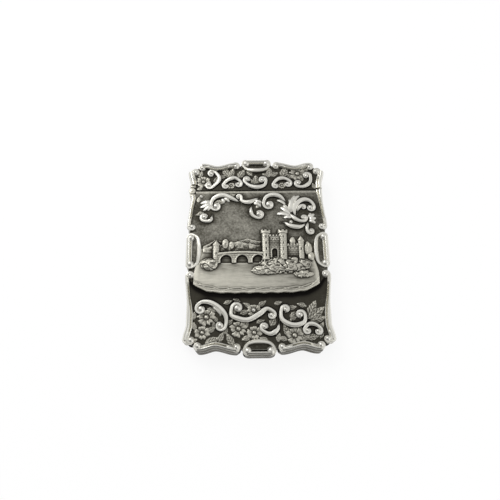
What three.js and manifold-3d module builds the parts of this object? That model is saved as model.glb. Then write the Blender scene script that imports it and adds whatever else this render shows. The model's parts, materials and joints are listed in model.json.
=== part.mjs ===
// Card case of stamped silver with a lid hinged at its left edge, lying on its back.
// X runs across the case, Y towards the lid and Z through its thickness, in millimetres.
import * as THREE from 'three';
import { mergeVertices } from 'three/addons/utils/BufferGeometryUtils.js';
import Module from 'manifold-3d';

const wasm = await Module();
wasm.setup();

// Thickness of the closed case, its sheet and the height of its relief
const THICKNESS = 11;
const RELIEF = 1.7;
const SHEET = 0.5;
const WALL = 0.6;

// Half sizes of the serpentine rim, the line where sheet and wall meet, and how far it swells in and out
const HIP = 31.9;
const WAIST_IN = 1.3;
const SHOULDER_OUT = 0.2;
const END = 47.4;
const END_SIDE_IN = 1.4;
const DIP_IN = 3.3;
const CREST_IN = 1.8;

// The seam between lid and body
const LID_LENGTH = 15.1;
const SEAM_GAP = 0.3;

// Lengths along the rim: its straight hip, the waist below and above the seam, and the corners
const HIP_REACH = 11;
const WAIST_BELOW = 5.3;
const WAIST_ABOVE = 3.2;
const SHOULDER_DROP = 4.2;
const CORNER_IN = 2.5;
const CREST_LENGTH = 2.4;
const DIP_X = 20;
const END_FLAT = 1.3;

// Border mounts: half-round rolls outside the rim, which end in round eyes
const ROLL_OUT = 2.8;
const ROLL_LIP = 0.5;
const ROLL_FOOT = 1.4;
const ROLL_BELLY = 1;
const ROLL_SHOULDER = 2.3;
const ROLL_CROWN = 1;
const RIM_GAP = 0.2;
const MID_GAP = 0.3;
const EYE = 1.75;
const EYE_OUT = 0.25;
const BIG_EYE = 2.5;
const BIG_EYE_OUT = 0.6;
const SIDE_CARTOUCHE_Y = 6.1;
const SIDE_EYE_GAP = 2.05;
const END_CARTOUCHE_X = 5.1;
const END_EYE_GAP = 1.15;
const SHOULDER_EYE_DROP = 0.5;
const SHOULDER_EYE_IN = 0.8;
const CORNER_EYE_STEP = 2.2;
const RIBBON = 1.9;
const RIBBON_IN = 3.8;
const RIBBON_RISE = 1.45;
const HINGE_CLEAR = 3.4;
const THUMB_NOTCH = 0.9;

// Bezel that lines the mouth and stands up into the lid
const BEZEL = 0.45;
const BEZEL_GAP = 0.25;
const BEZEL_RISE = 4.2;
const BEZEL_DEPTH = 6;

// Hinge: three knuckles on one pin
const KNUCKLE = 1.7;
const KNUCKLE_GAP = 0.2;
const KNUCKLE_PROUD = 0.6;
const PIN = 0.6;
const PIN_CLEAR = 0.2;

// Scrolls in relief on the sheets
const SCROLL_RISE = 0.95;
const SCROLL_WIDTH = 2.3;
const SCROLL_CLEAR = 0.4;
const BEAD = 1;
const SINK = 0.3;

// Picture in high relief on the front
const LIP_Y = -20.9;
const LIP_RISE = 1.45;
const HORIZON_Y = 1;
const HORIZON_RISE = 0.3;
const TERRACE_IN = 2.9;
const LIP_ROLL = 1.1;
const LIP_ROLL_RISE = 0.15;
const LIP_CORNER = 4.6;
const LIP_WAVE = 0.3;

// Plain raised reserve in the middle of the back
const RESERVE_HALF_X = 14;
const RESERVE_HALF_Y = 19;
const RESERVE_LOBE = 1.6;
const RESERVE_LOBES = 4;
const RESERVE_POINTS = 24;

// Heights and places that follow from those sizes
const FACE = THICKNESS - RELIEF;
const INNER_TOP = FACE - SHEET;
const INNER_LOW = RELIEF + SHEET;
const MIDDLE = THICKNESS / 2;
const SEAM_Y = END - LID_LENGTH;
const BODY_MOUTH = SEAM_Y - SEAM_GAP / 2;
const LID_MOUTH = SEAM_Y + SEAM_GAP / 2;
const WAIST = HIP - WAIST_IN;
const SHOULDER_Y = END - SHOULDER_DROP;
const CORNER_X = HIP - CORNER_IN;
const SIDE_EYE_Y = SIDE_CARTOUCHE_Y + BIG_EYE + SIDE_EYE_GAP + EYE;
const END_EYE_X = END_CARTOUCHE_X + BIG_EYE + END_EYE_GAP + EYE;
const TERRACE_HALF = HIP - TERRACE_IN;

// Ends of the straight stretches, which run on under their eyes by this share of the eye
const UNDER_EYE = 0.6;
const END_REACH = END_CARTOUCHE_X + BIG_EYE * UNDER_EYE;
const END_SIDE = END - END_SIDE_IN;
const CREST = END - CREST_IN;

// Half size of the rim at its stations along a side and along an end
const SIDE_WAVE = [
  [0, HIP], [HIP_REACH, HIP], [SEAM_Y - WAIST_BELOW, WAIST], [SEAM_Y + WAIST_ABOVE, WAIST],
  [SHOULDER_Y, HIP + SHOULDER_OUT],
];
const END_WAVE = [
  [0, END], [END_REACH, END], [END_EYE_X - END_FLAT, END_SIDE], [END_EYE_X, END_SIDE],
  [DIP_X, END - DIP_IN], [CORNER_X - CREST_LENGTH, CREST], [CORNER_X, CREST],
];

// Counts of facets
const WAVE_STEPS = 3;
const ROUND = 12;
const COARSE = 8;
const SMALL = 6;

const silver = { color: 0xd9d7d2, roughness: 0.28, metalness: 1 };
const oxidised = { color: 0x6f6d69, roughness: 0.42, metalness: 1 };

const vec = (x, y) => new THREE.Vector2(x, y);
const fractions = (count) => Array.from({ length: count + 1 }, (_, i) => i / count);

// Rim

// Half size of the rim at one place along a side, which swells smoothly from station to station.
function wave(stations, place) {
  const at = Math.abs(place);
  const next = Math.max(1, stations.findIndex(([where]) => where >= at));
  const [low, sizeLow] = stations[next - 1];
  const [high, sizeHigh] = stations[next];
  return THREE.MathUtils.lerp(sizeLow, sizeHigh, THREE.MathUtils.smoothstep(at, low, high));
}

// Places to sample between two points of a side: every station, with steps wherever the rim swells.
function places(stations, first, last) {
  const all = [first, last];
  for (let i = 1; i < stations.length; i++) {
    const [low, sizeLow] = stations[i - 1];
    const [high, sizeHigh] = stations[i];
    const count = sizeLow === sizeHigh ? 1 : WAVE_STEPS;
    all.push(...fractions(count).map((t) => THREE.MathUtils.lerp(low, high, t)));
  }
  const kept = all.filter((place) => place >= first && place <= last);
  return [...new Set(kept)].sort((a, b) => a - b);
}

const sidePoints = (first, last) => places(SIDE_WAVE, first, last).map((y) => vec(wave(SIDE_WAVE, y), y));
const endPoints = (first, last) => places(END_WAVE, first, last).map((x) => vec(x, wave(END_WAVE, x)));
const rimAt = (y) => wave(SIDE_WAVE, y);

// The whole rim, anticlockwise from the middle of the right side.
function rimLoop() {
  const quarter = [...sidePoints(0, SHOULDER_Y), ...endPoints(0, CORNER_X).reverse()];
  const half = [...quarter, ...quarter.slice(0, -1).reverse().map((p) => vec(-p.x, p.y))];
  return [...half, ...half.slice(1, -1).reverse().map((p) => vec(p.x, -p.y))];
}

// Moves a line sideways to its left, keeping its corners mitred.
function shifted(points, distance, closed) {
  const count = points.length;
  const sideOf = (i) => {
    const a = points[(i + count) % count];
    const b = points[(i + 1 + count) % count];
    const along = b.clone().sub(a).normalize();
    return vec(-along.y, along.x);
  };
  return points.map((p, i) => {
    const before = sideOf(closed ? i - 1 : Math.max(0, i - 1));
    const after = sideOf(closed ? i : Math.min(count - 2, i));
    const middle = before.clone().add(after).normalize();
    return p.clone().addScaledVector(middle, distance / middle.dot(after));
  });
}

const rim = rimLoop();
const lidFirst = rim.findIndex((p) => p.y > SEAM_Y);
const lidLast = rim.findLastIndex((p) => p.y > SEAM_Y);
const lidHalf = rimAt(LID_MOUTH);
const bodyHalf = rimAt(BODY_MOUTH);
const lidRim = [vec(lidHalf, LID_MOUTH), ...rim.slice(lidFirst, lidLast + 1), vec(-lidHalf, LID_MOUTH)];
const bodyRim = [
  vec(-bodyHalf, BODY_MOUTH), ...rim.slice(lidLast + 1), ...rim.slice(0, lidFirst), vec(bodyHalf, BODY_MOUTH),
];

// Axis of the hinge, clear of the rim on both sides of the seam
const hingeRim = Math.max(rimAt(SEAM_Y - KNUCKLE), rimAt(SEAM_Y + KNUCKLE));
const HINGE_X = -(hingeRim + KNUCKLE + KNUCKLE_GAP);

// Solids

// Points closer than this are one
const MERGE = 1e-4;

// Turns a closed geometry into a solid that can be joined and cut.
function solid(geometry) {
  const bare = geometry.clone();
  bare.deleteAttribute('normal');
  bare.deleteAttribute('uv');
  const merged = mergeVertices(bare, MERGE);
  const corners = Array.from(merged.index.array);
  const triVerts = [];
  for (let i = 0; i < corners.length; i += 3) {
    const [a, b, c] = corners.slice(i, i + 3);
    if (a !== b && b !== c && c !== a) {
      triVerts.push(a, b, c);
    }
  }
  return new wasm.Manifold(new wasm.Mesh({
    numProp: 3,
    vertProperties: Float32Array.from(merged.attributes.position.array),
    triVerts: Uint32Array.from(triVerts),
  }));
}

const joined = (bodies) => bodies.reduce((whole, body) => whole.add(body));

function geometryOf(body) {
  const mesh = body.getMesh();
  const geometry = new THREE.BufferGeometry();
  geometry.setAttribute('position', new THREE.BufferAttribute(mesh.vertProperties, 3));
  geometry.setIndex(new THREE.BufferAttribute(mesh.triVerts, 1));
  geometry.computeVertexNormals();
  return geometry;
}

// Upright prism between two heights, which its faces keep exactly.
function prism(points, low, high, holes = []) {
  const shape = new THREE.Shape(points);
  shape.holes = holes.map((hole) => new THREE.Path(hole));
  const geometry = new THREE.ExtrudeGeometry(shape, { depth: high - low, bevelEnabled: false });
  const position = geometry.attributes.position;
  for (let i = 0; i < position.count; i++) {
    position.setZ(i, position.getZ(i) > (high - low) / 2 ? high : low);
  }
  return geometry;
}

const rectangle = (x0, y0, x1, y1) => [vec(x0, y0), vec(x1, y0), vec(x1, y1), vec(x0, y1)];
const box = (x0, x1, y0, y1, z0, z1) => prism(rectangle(x0, y0, x1, y1), z0, z1);

// Points of a circle's arc, anticlockwise.
function arc(x, y, radius, from, to, count) {
  return fractions(count).map((t) => {
    const angle = THREE.MathUtils.lerp(from, to, t);
    return vec(x + radius * Math.cos(angle), y + radius * Math.sin(angle));
  });
}

// Closed solid through a row of rings with equal counts of points, capped at both ends.
function loft(rings) {
  const count = rings[0].length;
  const last = (rings.length - 1) * count;
  const index = [];
  for (let ring = 0; ring < last; ring += count) {
    for (let j = 0; j < count; j++) {
      const k = (j + 1) % count;
      index.push(ring + j, ring + k, ring + count + k, ring + j, ring + count + k, ring + count + j);
    }
  }
  for (let j = 1; j + 1 < count; j++) {
    index.push(0, j + 1, j, last, last + j, last + j + 1);
  }
  const geometry = new THREE.BufferGeometry();
  const position = rings.flat().flatMap((p) => [p.x, p.y, p.z]);
  geometry.setAttribute('position', new THREE.Float32BufferAttribute(position, 3));
  geometry.setIndex(index);
  return geometry;
}

// Sweeps a section along a line in the XY plane. The section is given to the left of travel, then up.
function sweep(path, sectionAt) {
  const left = shifted(path, 1, false);
  return loft(path.map((p, i) => {
    const side = left[i].clone().sub(p);
    const section = sectionAt(i / (path.length - 1));
    return section.map(([out, z]) => new THREE.Vector3(p.x + side.x * out, p.y + side.y * out, z));
  }));
}

// Turned shape on an upright axis, from a profile of radii and heights.
function turned(x, y, profile, sides = ROUND) {
  const lathe = new THREE.LatheGeometry(profile.map(([radius, z]) => vec(radius, z)), sides);
  return lathe.rotateX(Math.PI / 2).translate(x, y, 0);
}

// Copy of a geometry reflected in the planes whose sign is negative, about the middle of the case.
function reflected(geometry, [signX, signY, signZ]) {
  const copy = geometry.clone();
  const position = copy.attributes.position;
  for (let i = 0; i < position.count; i++) {
    const z = position.getZ(i);
    position.setXYZ(i, signX * position.getX(i), signY * position.getY(i), signZ < 0 ? THICKNESS - z : z);
  }
  if (signX * signY * signZ < 0) {
    const index = copy.index.array;
    for (let i = 0; i < index.length; i += 3) {
      [index[i], index[i + 1]] = [index[i + 1], index[i]];
    }
  }
  copy.computeVertexNormals();
  return copy;
}

// Scroll straps

const CURL_SWEEP = Math.PI * 1.6;
const CURL_SHRINK = 0.65;
const CURL_STEPS = 5;
const STRAP_STEP = 3;
const CURL_WIDTH = 0.5;
const TIP_WIDTH = 0.25;
const TAPER = 0.3;
const BEAD_SHOULDER = 0.75;

// Points of a curl that winds in round an eye, from where a strap out of one point first touches it.
function curl({ eye, reach, turn }, from) {
  const centre = vec(...eye);
  const away = from.clone().sub(centre);
  const first = away.angle() + turn * Math.acos(Math.min(1, reach / away.length()));
  return fractions(CURL_STEPS).map((t) => {
    const angle = first + turn * t * CURL_SWEEP;
    const radius = reach * (1 - t * CURL_SHRINK);
    return vec(centre.x + radius * Math.cos(angle), centre.y + radius * Math.sin(angle));
  });
}

// Smooth line of a scroll: out of one curl, through its points and into the other.
function scrollLine({ from, via, to }) {
  const points = via.map(([x, y]) => vec(x, y));
  const start = from ? curl(from, points[0]).reverse() : [];
  const end = to ? curl(to, points.at(-1)) : [];
  const all = [...start, ...points, ...end].map((p) => new THREE.Vector3(p.x, p.y, 0));
  const curve = new THREE.CatmullRomCurve3(all, false, 'centripetal');
  const line = [curve.getPoint(0)];
  for (let i = 1; i < all.length; i++) {
    const steps = Math.max(1, Math.round(all[i].distanceTo(all[i - 1]) / STRAP_STEP));
    line.push(...fractions(steps).slice(1).map((t) => curve.getPoint((i - 1 + t) / (all.length - 1))));
  }
  return line.map((p) => vec(p.x, p.y));
}

// Share of its full width that a scroll has along its length: curls are narrow and free tips narrower.
function scrollShare({ from, to }, t) {
  const startShare = from ? CURL_WIDTH : TIP_WIDTH;
  const endShare = to ? CURL_WIDTH : TIP_WIDTH;
  const rise = THREE.MathUtils.smoothstep(t, 0, TAPER);
  const fall = THREE.MathUtils.smoothstep(1 - t, 0, TAPER);
  return Math.min(THREE.MathUtils.lerp(startShare, 1, rise), THREE.MathUtils.lerp(endShare, 1, fall));
}

// Strap of a scroll on the face of a sheet.
function scrollSolid(scroll, rise, width) {
  return solid(sweep(scrollLine(scroll), (t) => {
    const half = width * scrollShare(scroll, t) / 2;
    const top = FACE + rise * Math.sqrt(scrollShare(scroll, t));
    return [[half, FACE - SINK], [half / 2, top], [-half / 2, top], [-half, FACE - SINK]];
  }));
}

function bead(x, y) {
  const low = FACE - SINK;
  const shoulder = [BEAD * BEAD_SHOULDER, FACE + SCROLL_RISE * BEAD_SHOULDER];
  return solid(turned(x, y, [[0, low], [BEAD, low], shoulder, [0, FACE + SCROLL_RISE]], SMALL));
}

// Scrolls of the front. Heights on the page are measured from the seam on the lid and the upper body,
// and from the middle of the bottom rim on the lower body.
const eye = (x, y, turn, reach = 1.6) => ({ eye: [x, y], reach, turn });
const LID_SCROLLS = [
  { from: eye(-22.9, 10.3, 1), via: [[-18.9, 7.2]], to: eye(-24.4, 3.1, -1) },
  { from: eye(-15.6, 2.7, 1, 1.2), via: [[-13.6, 6.6], [-11.2, 7.4]], to: eye(-9, 4, -1) },
  { from: eye(-4.4, 6.6, -1, 1.4), via: [[-3.4, 2.9], [0.4, 1.9], [4.4, 3.6]], to: eye(3.2, 6, 1) },
  { from: eye(9.6, 2.7, 1, 1.2), via: [[11, 6.4], [13.6, 7]], to: eye(16.2, 4.1, -1) },
  { from: eye(21.2, 4.1, -1), via: [[23.6, 2], [27.6, 4.6]], to: eye(26.2, 8.6, 1) },
];
const UPPER_SCROLLS = [
  { from: eye(-20.3, -8.6, 1, 2), via: [[-22.2, -5.4], [-17.4, -2.8], [-12, -4.8], [-7.6, -6.9]] },
  { from: eye(-26, -14.6, -1), via: [[-23.2, -16], [-22, -12.2]] },
  { from: eye(-9, -3.4, 1, 1), via: [[-7.6, -5.4], [-4.6, -6.6], [-0.6, -5], [2, -3.4]] },
  { via: [[-2, -7.4], [-2.8, -10.6], [-2, -13.6]], to: eye(1.2, -13, 1, 1.8) },
  { from: eye(6.2, -7.6, 1, 2), via: [[4.8, -4.2], [9.6, -2.9], [14, -6], [16.6, -11.4]] },
  { via: [[21.4, -15.4], [19.4, -12.4], [19.6, -8.4], [23.6, -5.8]], to: eye(25.8, -9.4, -1) },
  { via: [[12, -17.6], [15.4, -19.2], [19.6, -20], [23.4, -18.4], [24.6, -15]] },
  { via: [[23.8, -18], [23.8, -20.8]], to: eye(25.4, -22.2, 1, 1) },
  { via: [[14.4, -13.4], [17.6, -8.6], [19.8, -3.2]] },
  { via: [[9.8, -12.4], [13.4, -12.6], [17, -14]] },
  { via: [[-28, -8], [-26.4, -9.4], [-24.4, -9]] },
];
const LOWER_SCROLLS = [
  { from: eye(-26.6, 18.6, 1), via: [[-26.4, 21.2], [-20.6, 20.6], [-15.6, 15.4]], to: eye(-18, 10.6, -1) },
  { via: [[-21.4, 18.6], [-18.8, 16.4], [-17.4, 13.4]] },
  {
    from: eye(-10, 19.4, -1),
    via: [[-12, 15.6], [-5.4, 13.6], [0.4, 16.4], [4, 18.8]],
    to: eye(6, 15.8, -1, 1.4),
  },
  { from: eye(2.8, 10.2, -1), via: [[5.4, 7.4], [8.4, 9.2], [9.4, 13.2]] },
  { from: eye(12.2, 18.4, -1, 1.4), via: [[10.6, 14.2], [16.6, 11.2], [21, 13.4]], to: eye(19.2, 15.6, 1) },
  { via: [[23.2, 16.6], [24.6, 19.4], [27.4, 21]] },
  { from: eye(22, 8.6, 1, 1.2), via: [[22.8, 11.2], [25.4, 11]], to: eye(27, 8, -1, 1.2) },
];
const BEADS = [[-28, 29.2], [-2.4, -29.2], [23.2, 24], [24.4, 17.2]];

// Scrolls of the back, in one quarter round the reserve and in one half of the lid.
const BACK_SCROLLS = [
  { from: eye(20, 5.4, -1, 1.8), via: [[18.4, 10], [18.6, 17], [23, 20.6]], to: eye(24, 16, -1, 1.8) },
];
const BACK_LID_SCROLLS = [
  { from: eye(5, 6.6, -1, 1.6), via: [[8, 2.6], [16, 3], [22.4, 3.4]], to: eye(24, 7, 1, 1.6) },
];

const moved = (scroll, up) => ({
  from: scroll.from && { ...scroll.from, eye: [scroll.from.eye[0], scroll.from.eye[1] + up] },
  via: scroll.via.map(([x, y]) => [x, y + up]),
  to: scroll.to && { ...scroll.to, eye: [scroll.to.eye[0], scroll.to.eye[1] + up] },
});

const frontScroll = (up) => (scroll) => scrollSolid(moved(scroll, up), SCROLL_RISE, SCROLL_WIDTH);

// Border mounts, all made on the right or at the lid's end and reflected from there

const LOW = MIDDLE + MID_GAP / 2;

// Section of a roll, from the corner of the rabbet that fits the sheet's edge.
const ROLL_SECTION = [
  [RIM_GAP, FACE], [RIM_GAP, LOW], [ROLL_FOOT, LOW], [ROLL_OUT, FACE - ROLL_BELLY],
  [ROLL_SHOULDER, (FACE + THICKNESS) / 2], [ROLL_CROWN, THICKNESS], [-ROLL_LIP, FACE],
];

// Eye that ends a roll: a round boss on the face, with a ball in its sunk middle.
const EYE_RIM = { radius: 0.84, drop: 0.15 };
const EYE_HOLLOW = { radius: 0.5, drop: 0.4 };
function bossEye(x, y, radius) {
  const ring = (share) => [radius * share.radius, THICKNESS - RELIEF * share.drop];
  const profile = [[0, FACE], [radius, FACE], ring(EYE_RIM), ring(EYE_HOLLOW), [0, THICKNESS]];
  return solid(turned(x, y, profile, COARSE));
}

const roll = (path) => solid(sweep(path, () => ROLL_SECTION));
const sideRoll = (low, high) => roll(sidePoints(low, high).reverse());
const endRoll = (low, high) => roll(endPoints(low, high));

const shoulderEyeY = SHOULDER_Y - SHOULDER_EYE_DROP;
const cornerEyeX = CORNER_X - CORNER_EYE_STEP;
const hipEye = [rimAt(SIDE_EYE_Y) + EYE_OUT, SIDE_EYE_Y];
const shoulderEye = [rimAt(shoulderEyeY) - SHOULDER_EYE_IN, shoulderEyeY];
const cornerEye = [cornerEyeX, wave(END_WAVE, cornerEyeX)];
const endEye = [END_EYE_X, END_SIDE + EYE_OUT];
const sideBigEye = [HIP + BIG_EYE_OUT, SIDE_CARTOUCHE_Y];
const endBigEye = [END_CARTOUCHE_X, END + BIG_EYE_OUT];

// Ribbon that bows inwards round a cartouche from eye to eye.
const BOW_KNEE = { along: 0.2, inward: 0.55 };
function bow(reach) {
  const end = [reach + BIG_EYE * UNDER_EYE, BIG_EYE_OUT];
  const knee = [reach + BIG_EYE * BOW_KNEE.along, -RIBBON_IN * BOW_KNEE.inward];
  const half = [[reach / 2, -RIBBON_IN], knee, end];
  return [...half.map(([along, out]) => [-along, out]).reverse(), ...half];
}
const sideRibbon = { via: bow(SIDE_CARTOUCHE_Y).map(([along, out]) => [HIP + out, along]) };
const endRibbon = { via: bow(END_CARTOUCHE_X).map(([along, out]) => [along, END + out]) };

const mount = (bodies) => geometryOf(joined(bodies));
const onFace = solid(box(-HIP - ROLL_OUT, HIP + ROLL_OUT, -END - ROLL_OUT, END + ROLL_OUT, FACE, THICKNESS));

function cartouche(ribbon, bar, eyes) {
  const strap = scrollSolid(ribbon, RIBBON_RISE, RIBBON).intersect(onFace);
  return mount([strap, bar, ...eyes.map(([x, y]) => bossEye(x, y, BIG_EYE))]);
}

// Ends of the rolls
const hipEnd = SIDE_EYE_Y - EYE * UNDER_EYE;
const shoulderEnd = Math.min(SHOULDER_Y, shoulderEyeY + EYE * UNDER_EYE);
const endLow = END_EYE_X - EYE * UNDER_EYE;
const endHigh = Math.min(CORNER_X, cornerEyeX + EYE * UNDER_EYE);

// Notch for a thumbnail at the free end of the seam
const PAST = 1;
const notchLine = [[0, -PAST], [THUMB_NOTCH, -PAST], [THUMB_NOTCH, THICKNESS + PAST], [0, THICKNESS + PAST]];
const notch = solid(turned(lidHalf + ROLL_OUT, LID_MOUTH, notchLine, COARSE));

const mounts = {
  side: mount([sideRoll(hipEnd, shoulderEnd), bossEye(...hipEye, EYE), bossEye(...shoulderEye, EYE)]),
  upper: mount([sideRoll(hipEnd, BODY_MOUTH), bossEye(...hipEye, EYE)]),
  hingeUpper: mount([sideRoll(hipEnd, SEAM_Y - HINGE_CLEAR), bossEye(...hipEye, EYE)]),
  lidSide: mount([sideRoll(LID_MOUTH, shoulderEnd).subtract(notch), bossEye(...shoulderEye, EYE)]),
  hingeLid: mount([sideRoll(SEAM_Y + HINGE_CLEAR, shoulderEnd), bossEye(...shoulderEye, EYE)]),
  end: mount([endRoll(endLow, endHigh), bossEye(...endEye, EYE), bossEye(...cornerEye, EYE)]),
  sideCartouche: cartouche(sideRibbon, roll([vec(HIP, sideBigEye[1]), vec(HIP, -sideBigEye[1])]),
    [sideBigEye, [sideBigEye[0], -sideBigEye[1]]]),
  endCartouche: cartouche(endRibbon, roll([vec(-endBigEye[0], END), vec(endBigEye[0], END)]),
    [endBigEye, [-endBigEye[0], endBigEye[1]]]),
};
const BORDER = [
  ['right_upper', 'upper', 1, 1],
  ['right_cartouche', 'sideCartouche', 1, 1],
  ['right_lower', 'side', 1, -1],
  ['bottom_right', 'end', 1, -1],
  ['bottom_cartouche', 'endCartouche', 1, -1],
  ['bottom_left', 'end', -1, -1],
  ['left_lower', 'side', -1, -1],
  ['left_cartouche', 'sideCartouche', -1, 1],
  ['left_upper', 'hingeUpper', -1, 1],
  ['lid_left', 'hingeLid', -1, 1],
  ['lid_top_left', 'end', -1, 1],
  ['lid_top_cartouche', 'endCartouche', 1, 1],
  ['lid_top_right', 'end', 1, 1],
  ['lid_right', 'lidSide', 1, 1],
];

const QUARTERS = [[1, 1, 1], [-1, 1, 1], [1, -1, 1], [-1, -1, 1]];

// Room that the border takes on the face of the sheets, with the clearance that the scrolls keep to it.
function borderRoom() {
  const small = [hipEye, shoulderEye, cornerEye, endEye].map(([x, y]) => bossEye(x, y, EYE + SCROLL_CLEAR));
  const big = [sideBigEye, endBigEye].map(([x, y]) => bossEye(x, y, BIG_EYE + SCROLL_CLEAR));
  const width = RIBBON + 2 * SCROLL_CLEAR;
  const ribbons = [sideRibbon, endRibbon].map((ribbon) => scrollSolid(ribbon, RELIEF, width));
  const room = geometryOf(joined([...small, ...big, ...ribbons]));
  return joined(QUARTERS.map((signs) => solid(reflected(room, signs))));
}

const taken = borderRoom();
const fieldOf = (line) => solid(prism(shifted(line, ROLL_LIP + SCROLL_CLEAR, false), INNER_TOP, THICKNESS));
const lidField = fieldOf(lidRim).subtract(taken);
const bodyField = fieldOf(bodyRim).subtract(taken);

// Stamped sheets

function sheet(line, relief, field) {
  return geometryOf(solid(prism(line, INNER_TOP, FACE)).add(joined(relief).intersect(field)));
}

const lidFront = LID_SCROLLS.map(frontScroll(SEAM_Y));
const bodyFront = [
  ...UPPER_SCROLLS.map(frontScroll(SEAM_Y)),
  ...LOWER_SCROLLS.map(frontScroll(-END)),
  ...BEADS.map(([x, y]) => bead(x, y)),
];

// Plain reserve of the back, a lobed oval whose flat crown the closed case lies on.
function reserve() {
  const outline = fractions(RESERVE_POINTS).slice(1).map((t) => {
    const angle = t * 2 * Math.PI;
    const lobe = RESERVE_LOBE * Math.cos(RESERVE_LOBES * angle) / 2;
    return vec((RESERVE_HALF_X + lobe) * Math.cos(angle), (RESERVE_HALF_Y + lobe) * Math.sin(angle));
  });
  const edge = RELIEF / 2;
  const shape = new THREE.Shape(shifted(outline, edge, true));
  const bevel = { bevelEnabled: true, bevelThickness: edge, bevelSize: edge, bevelSegments: 1 };
  const geometry = new THREE.ExtrudeGeometry(shape, { depth: RELIEF, ...bevel });
  geometry.translate(0, 0, THICKNESS - RELIEF - edge);
  const position = geometry.attributes.position;
  for (let i = 0; i < position.count; i++) {
    position.setZ(i, Math.min(THICKNESS, position.getZ(i)));
  }
  return solid(geometry);
}

function backRelief() {
  const quarter = geometryOf(joined(BACK_SCROLLS.map(frontScroll(0))));
  return [reserve(), ...QUARTERS.map((signs) => solid(reflected(quarter, signs)))];
}

function backLidRelief() {
  const half = geometryOf(joined(BACK_LID_SCROLLS.map(frontScroll(SEAM_Y))));
  return [solid(half), solid(reflected(half, [-1, 1, 1]))];
}

// Picture on the front: heights are above the face until the whole is lifted onto it

// Shares of a tower's radius: its foot, crown, roof and merlons
const FOOT_FLARE = 1.08;
const CROWN = { low: 1.05, high: 1.25, length: 0.6, lift: 0.2 };
const MERLON = { half: 0.22, top: 0.95, depth: 0.7, places: [-0.85, 0, 0.85] };
const ROOF = { radius: 1.3, length: 2.6, lift: 1.2 };

const BURIED = 1;
const GATE = { left: 4.4, right: 12, foot: -4, top: 7.2, rise: 0.9 };
const GATE_MERLON = { width: 0.9, height: 0.8, places: [5.2, 7, 8.8, 10.6] };
const DOOR = { x: 8.2, spring: -0.6, half: 1.3, recess: 0.45 };
const CURTAIN = { left: 13, right: 21, foot: -4, top: 2.4, rise: 0.7 };
const TOWERS = [
  { x: 4, foot: -5, top: 9, radius: 1.9 },
  { x: 12.4, foot: -5, top: 9, radius: 1.9 },
];
const TURRETS = [
  { x: 21, foot: -4.6, top: 4.6, radius: 1.4 },
  { x: -20, foot: -6.6, top: 2.6, radius: 1.6 },
];
const BRIDGE = { left: -19, right: 4, foot: -6.4, deck: -1.6, hump: 0.8, arches: 3, rise: 0.95, arch: 0.36 };
const MOUNDS = [
  { x: 13, y: -7.4, halfX: 12, halfY: 4.2, rise: 1.5 },
  { x: 4, y: -9.4, halfX: 7, halfY: 2.6, rise: 1.4 },
  { x: -23, y: -7, halfX: 4.4, halfY: 3, rise: 1.35 },
];
const TREE_IN = 4.6;
const TREES = [
  { x: TERRACE_HALF - TREE_IN, y: 0.6, halfX: 1.9, halfY: 3.4, rise: 1.1 },
  { x: 17, y: 4.4, halfX: 1.5, halfY: 2.4, rise: 0.9 },
  { x: -15.6, y: 3.4, halfX: 1.6, halfY: 2.6, rise: 0.9 },
  { x: -12.6, y: 2.6, halfX: 1.3, halfY: 2, rise: 0.8 },
];
const HILL_IN = 2.6;
const HILL_FOOT = 4;
const HILL_STEPS = 14;
const HILL_ENDS = 2.3;
const HILL_CREST = [[-20, 5.6], [-13, 3.4], [-5, 6.4], [3, 4], [12, 6.6], [20, 4.4]];
const SHORE = 14;
const SHORE_IN = 3;
const LIP_STEPS = 22;
const LIP_SCALLOPS = 9;
const LIP_ROUNDING = 6;

// Round shaft of a tower or turret, half sunk in the picture's ground.
function shaft({ x, foot, top, radius }) {
  const round = new THREE.CylinderGeometry(radius, radius * FOOT_FLARE, top - foot, COARSE);
  return solid(round.translate(x, (top + foot) / 2, 0));
}

// Tower with a battlement.
function tower(place) {
  const { x, top, radius } = place;
  const high = radius * CROWN.high;
  const crown = new THREE.CylinderGeometry(high, radius * CROWN.low, radius * CROWN.length, COARSE);
  const merlons = MERLON.places.map((share) => {
    const left = x + (share - MERLON.half) * radius;
    const right = x + (share + MERLON.half) * radius;
    return solid(box(left, right, top, top + radius * MERLON.top, -radius, radius * MERLON.depth));
  });
  return joined([shaft(place), solid(crown.translate(x, top + radius * CROWN.lift, 0)), ...merlons]);
}

// Turret with a pointed roof.
function turret(place) {
  const { x, top, radius } = place;
  const roof = new THREE.ConeGeometry(radius * ROOF.radius, radius * ROOF.length, COARSE);
  return joined([shaft(place), solid(roof.translate(x, top + radius * ROOF.lift, 0))]);
}

function lump({ x, y, halfX, halfY, rise }, sides) {
  const ball = new THREE.SphereGeometry(1, sides, sides / 2);
  return solid(ball.scale(halfX, halfY, rise).translate(x, y, 0));
}

// Bridge of round arches between two banks.
function bridge({ left, right, foot, deck, hump, arches, rise, arch }) {
  const span = (right - left) / arches;
  const outline = [vec(left, foot)];
  for (let i = 0; i < arches; i++) {
    outline.push(...arc(left + span * (i + 0.5), foot, span * arch, Math.PI, 0, COARSE));
  }
  outline.push(vec(right, foot), vec(right, deck), vec((left + right) / 2, deck + hump), vec(left, deck));
  return solid(prism(outline, -BURIED, rise));
}

function gatehouse() {
  const { left, right, foot, top, rise } = GATE;
  const merlons = GATE_MERLON.places.map((x) => (
    solid(box(x, x + GATE_MERLON.width, top, top + GATE_MERLON.height, -BURIED, rise))
  ));
  const { x, spring, half, recess } = DOOR;
  const sill = foot - half;
  const doorway = [...arc(x, spring, half, 0, Math.PI, COARSE), vec(x - half, sill), vec(x + half, sill)];
  const front = joined([solid(box(left, right, foot, top, -BURIED, rise)), ...merlons]);
  return front.subtract(solid(prism(doorway, recess, rise + BURIED)));
}

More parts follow.
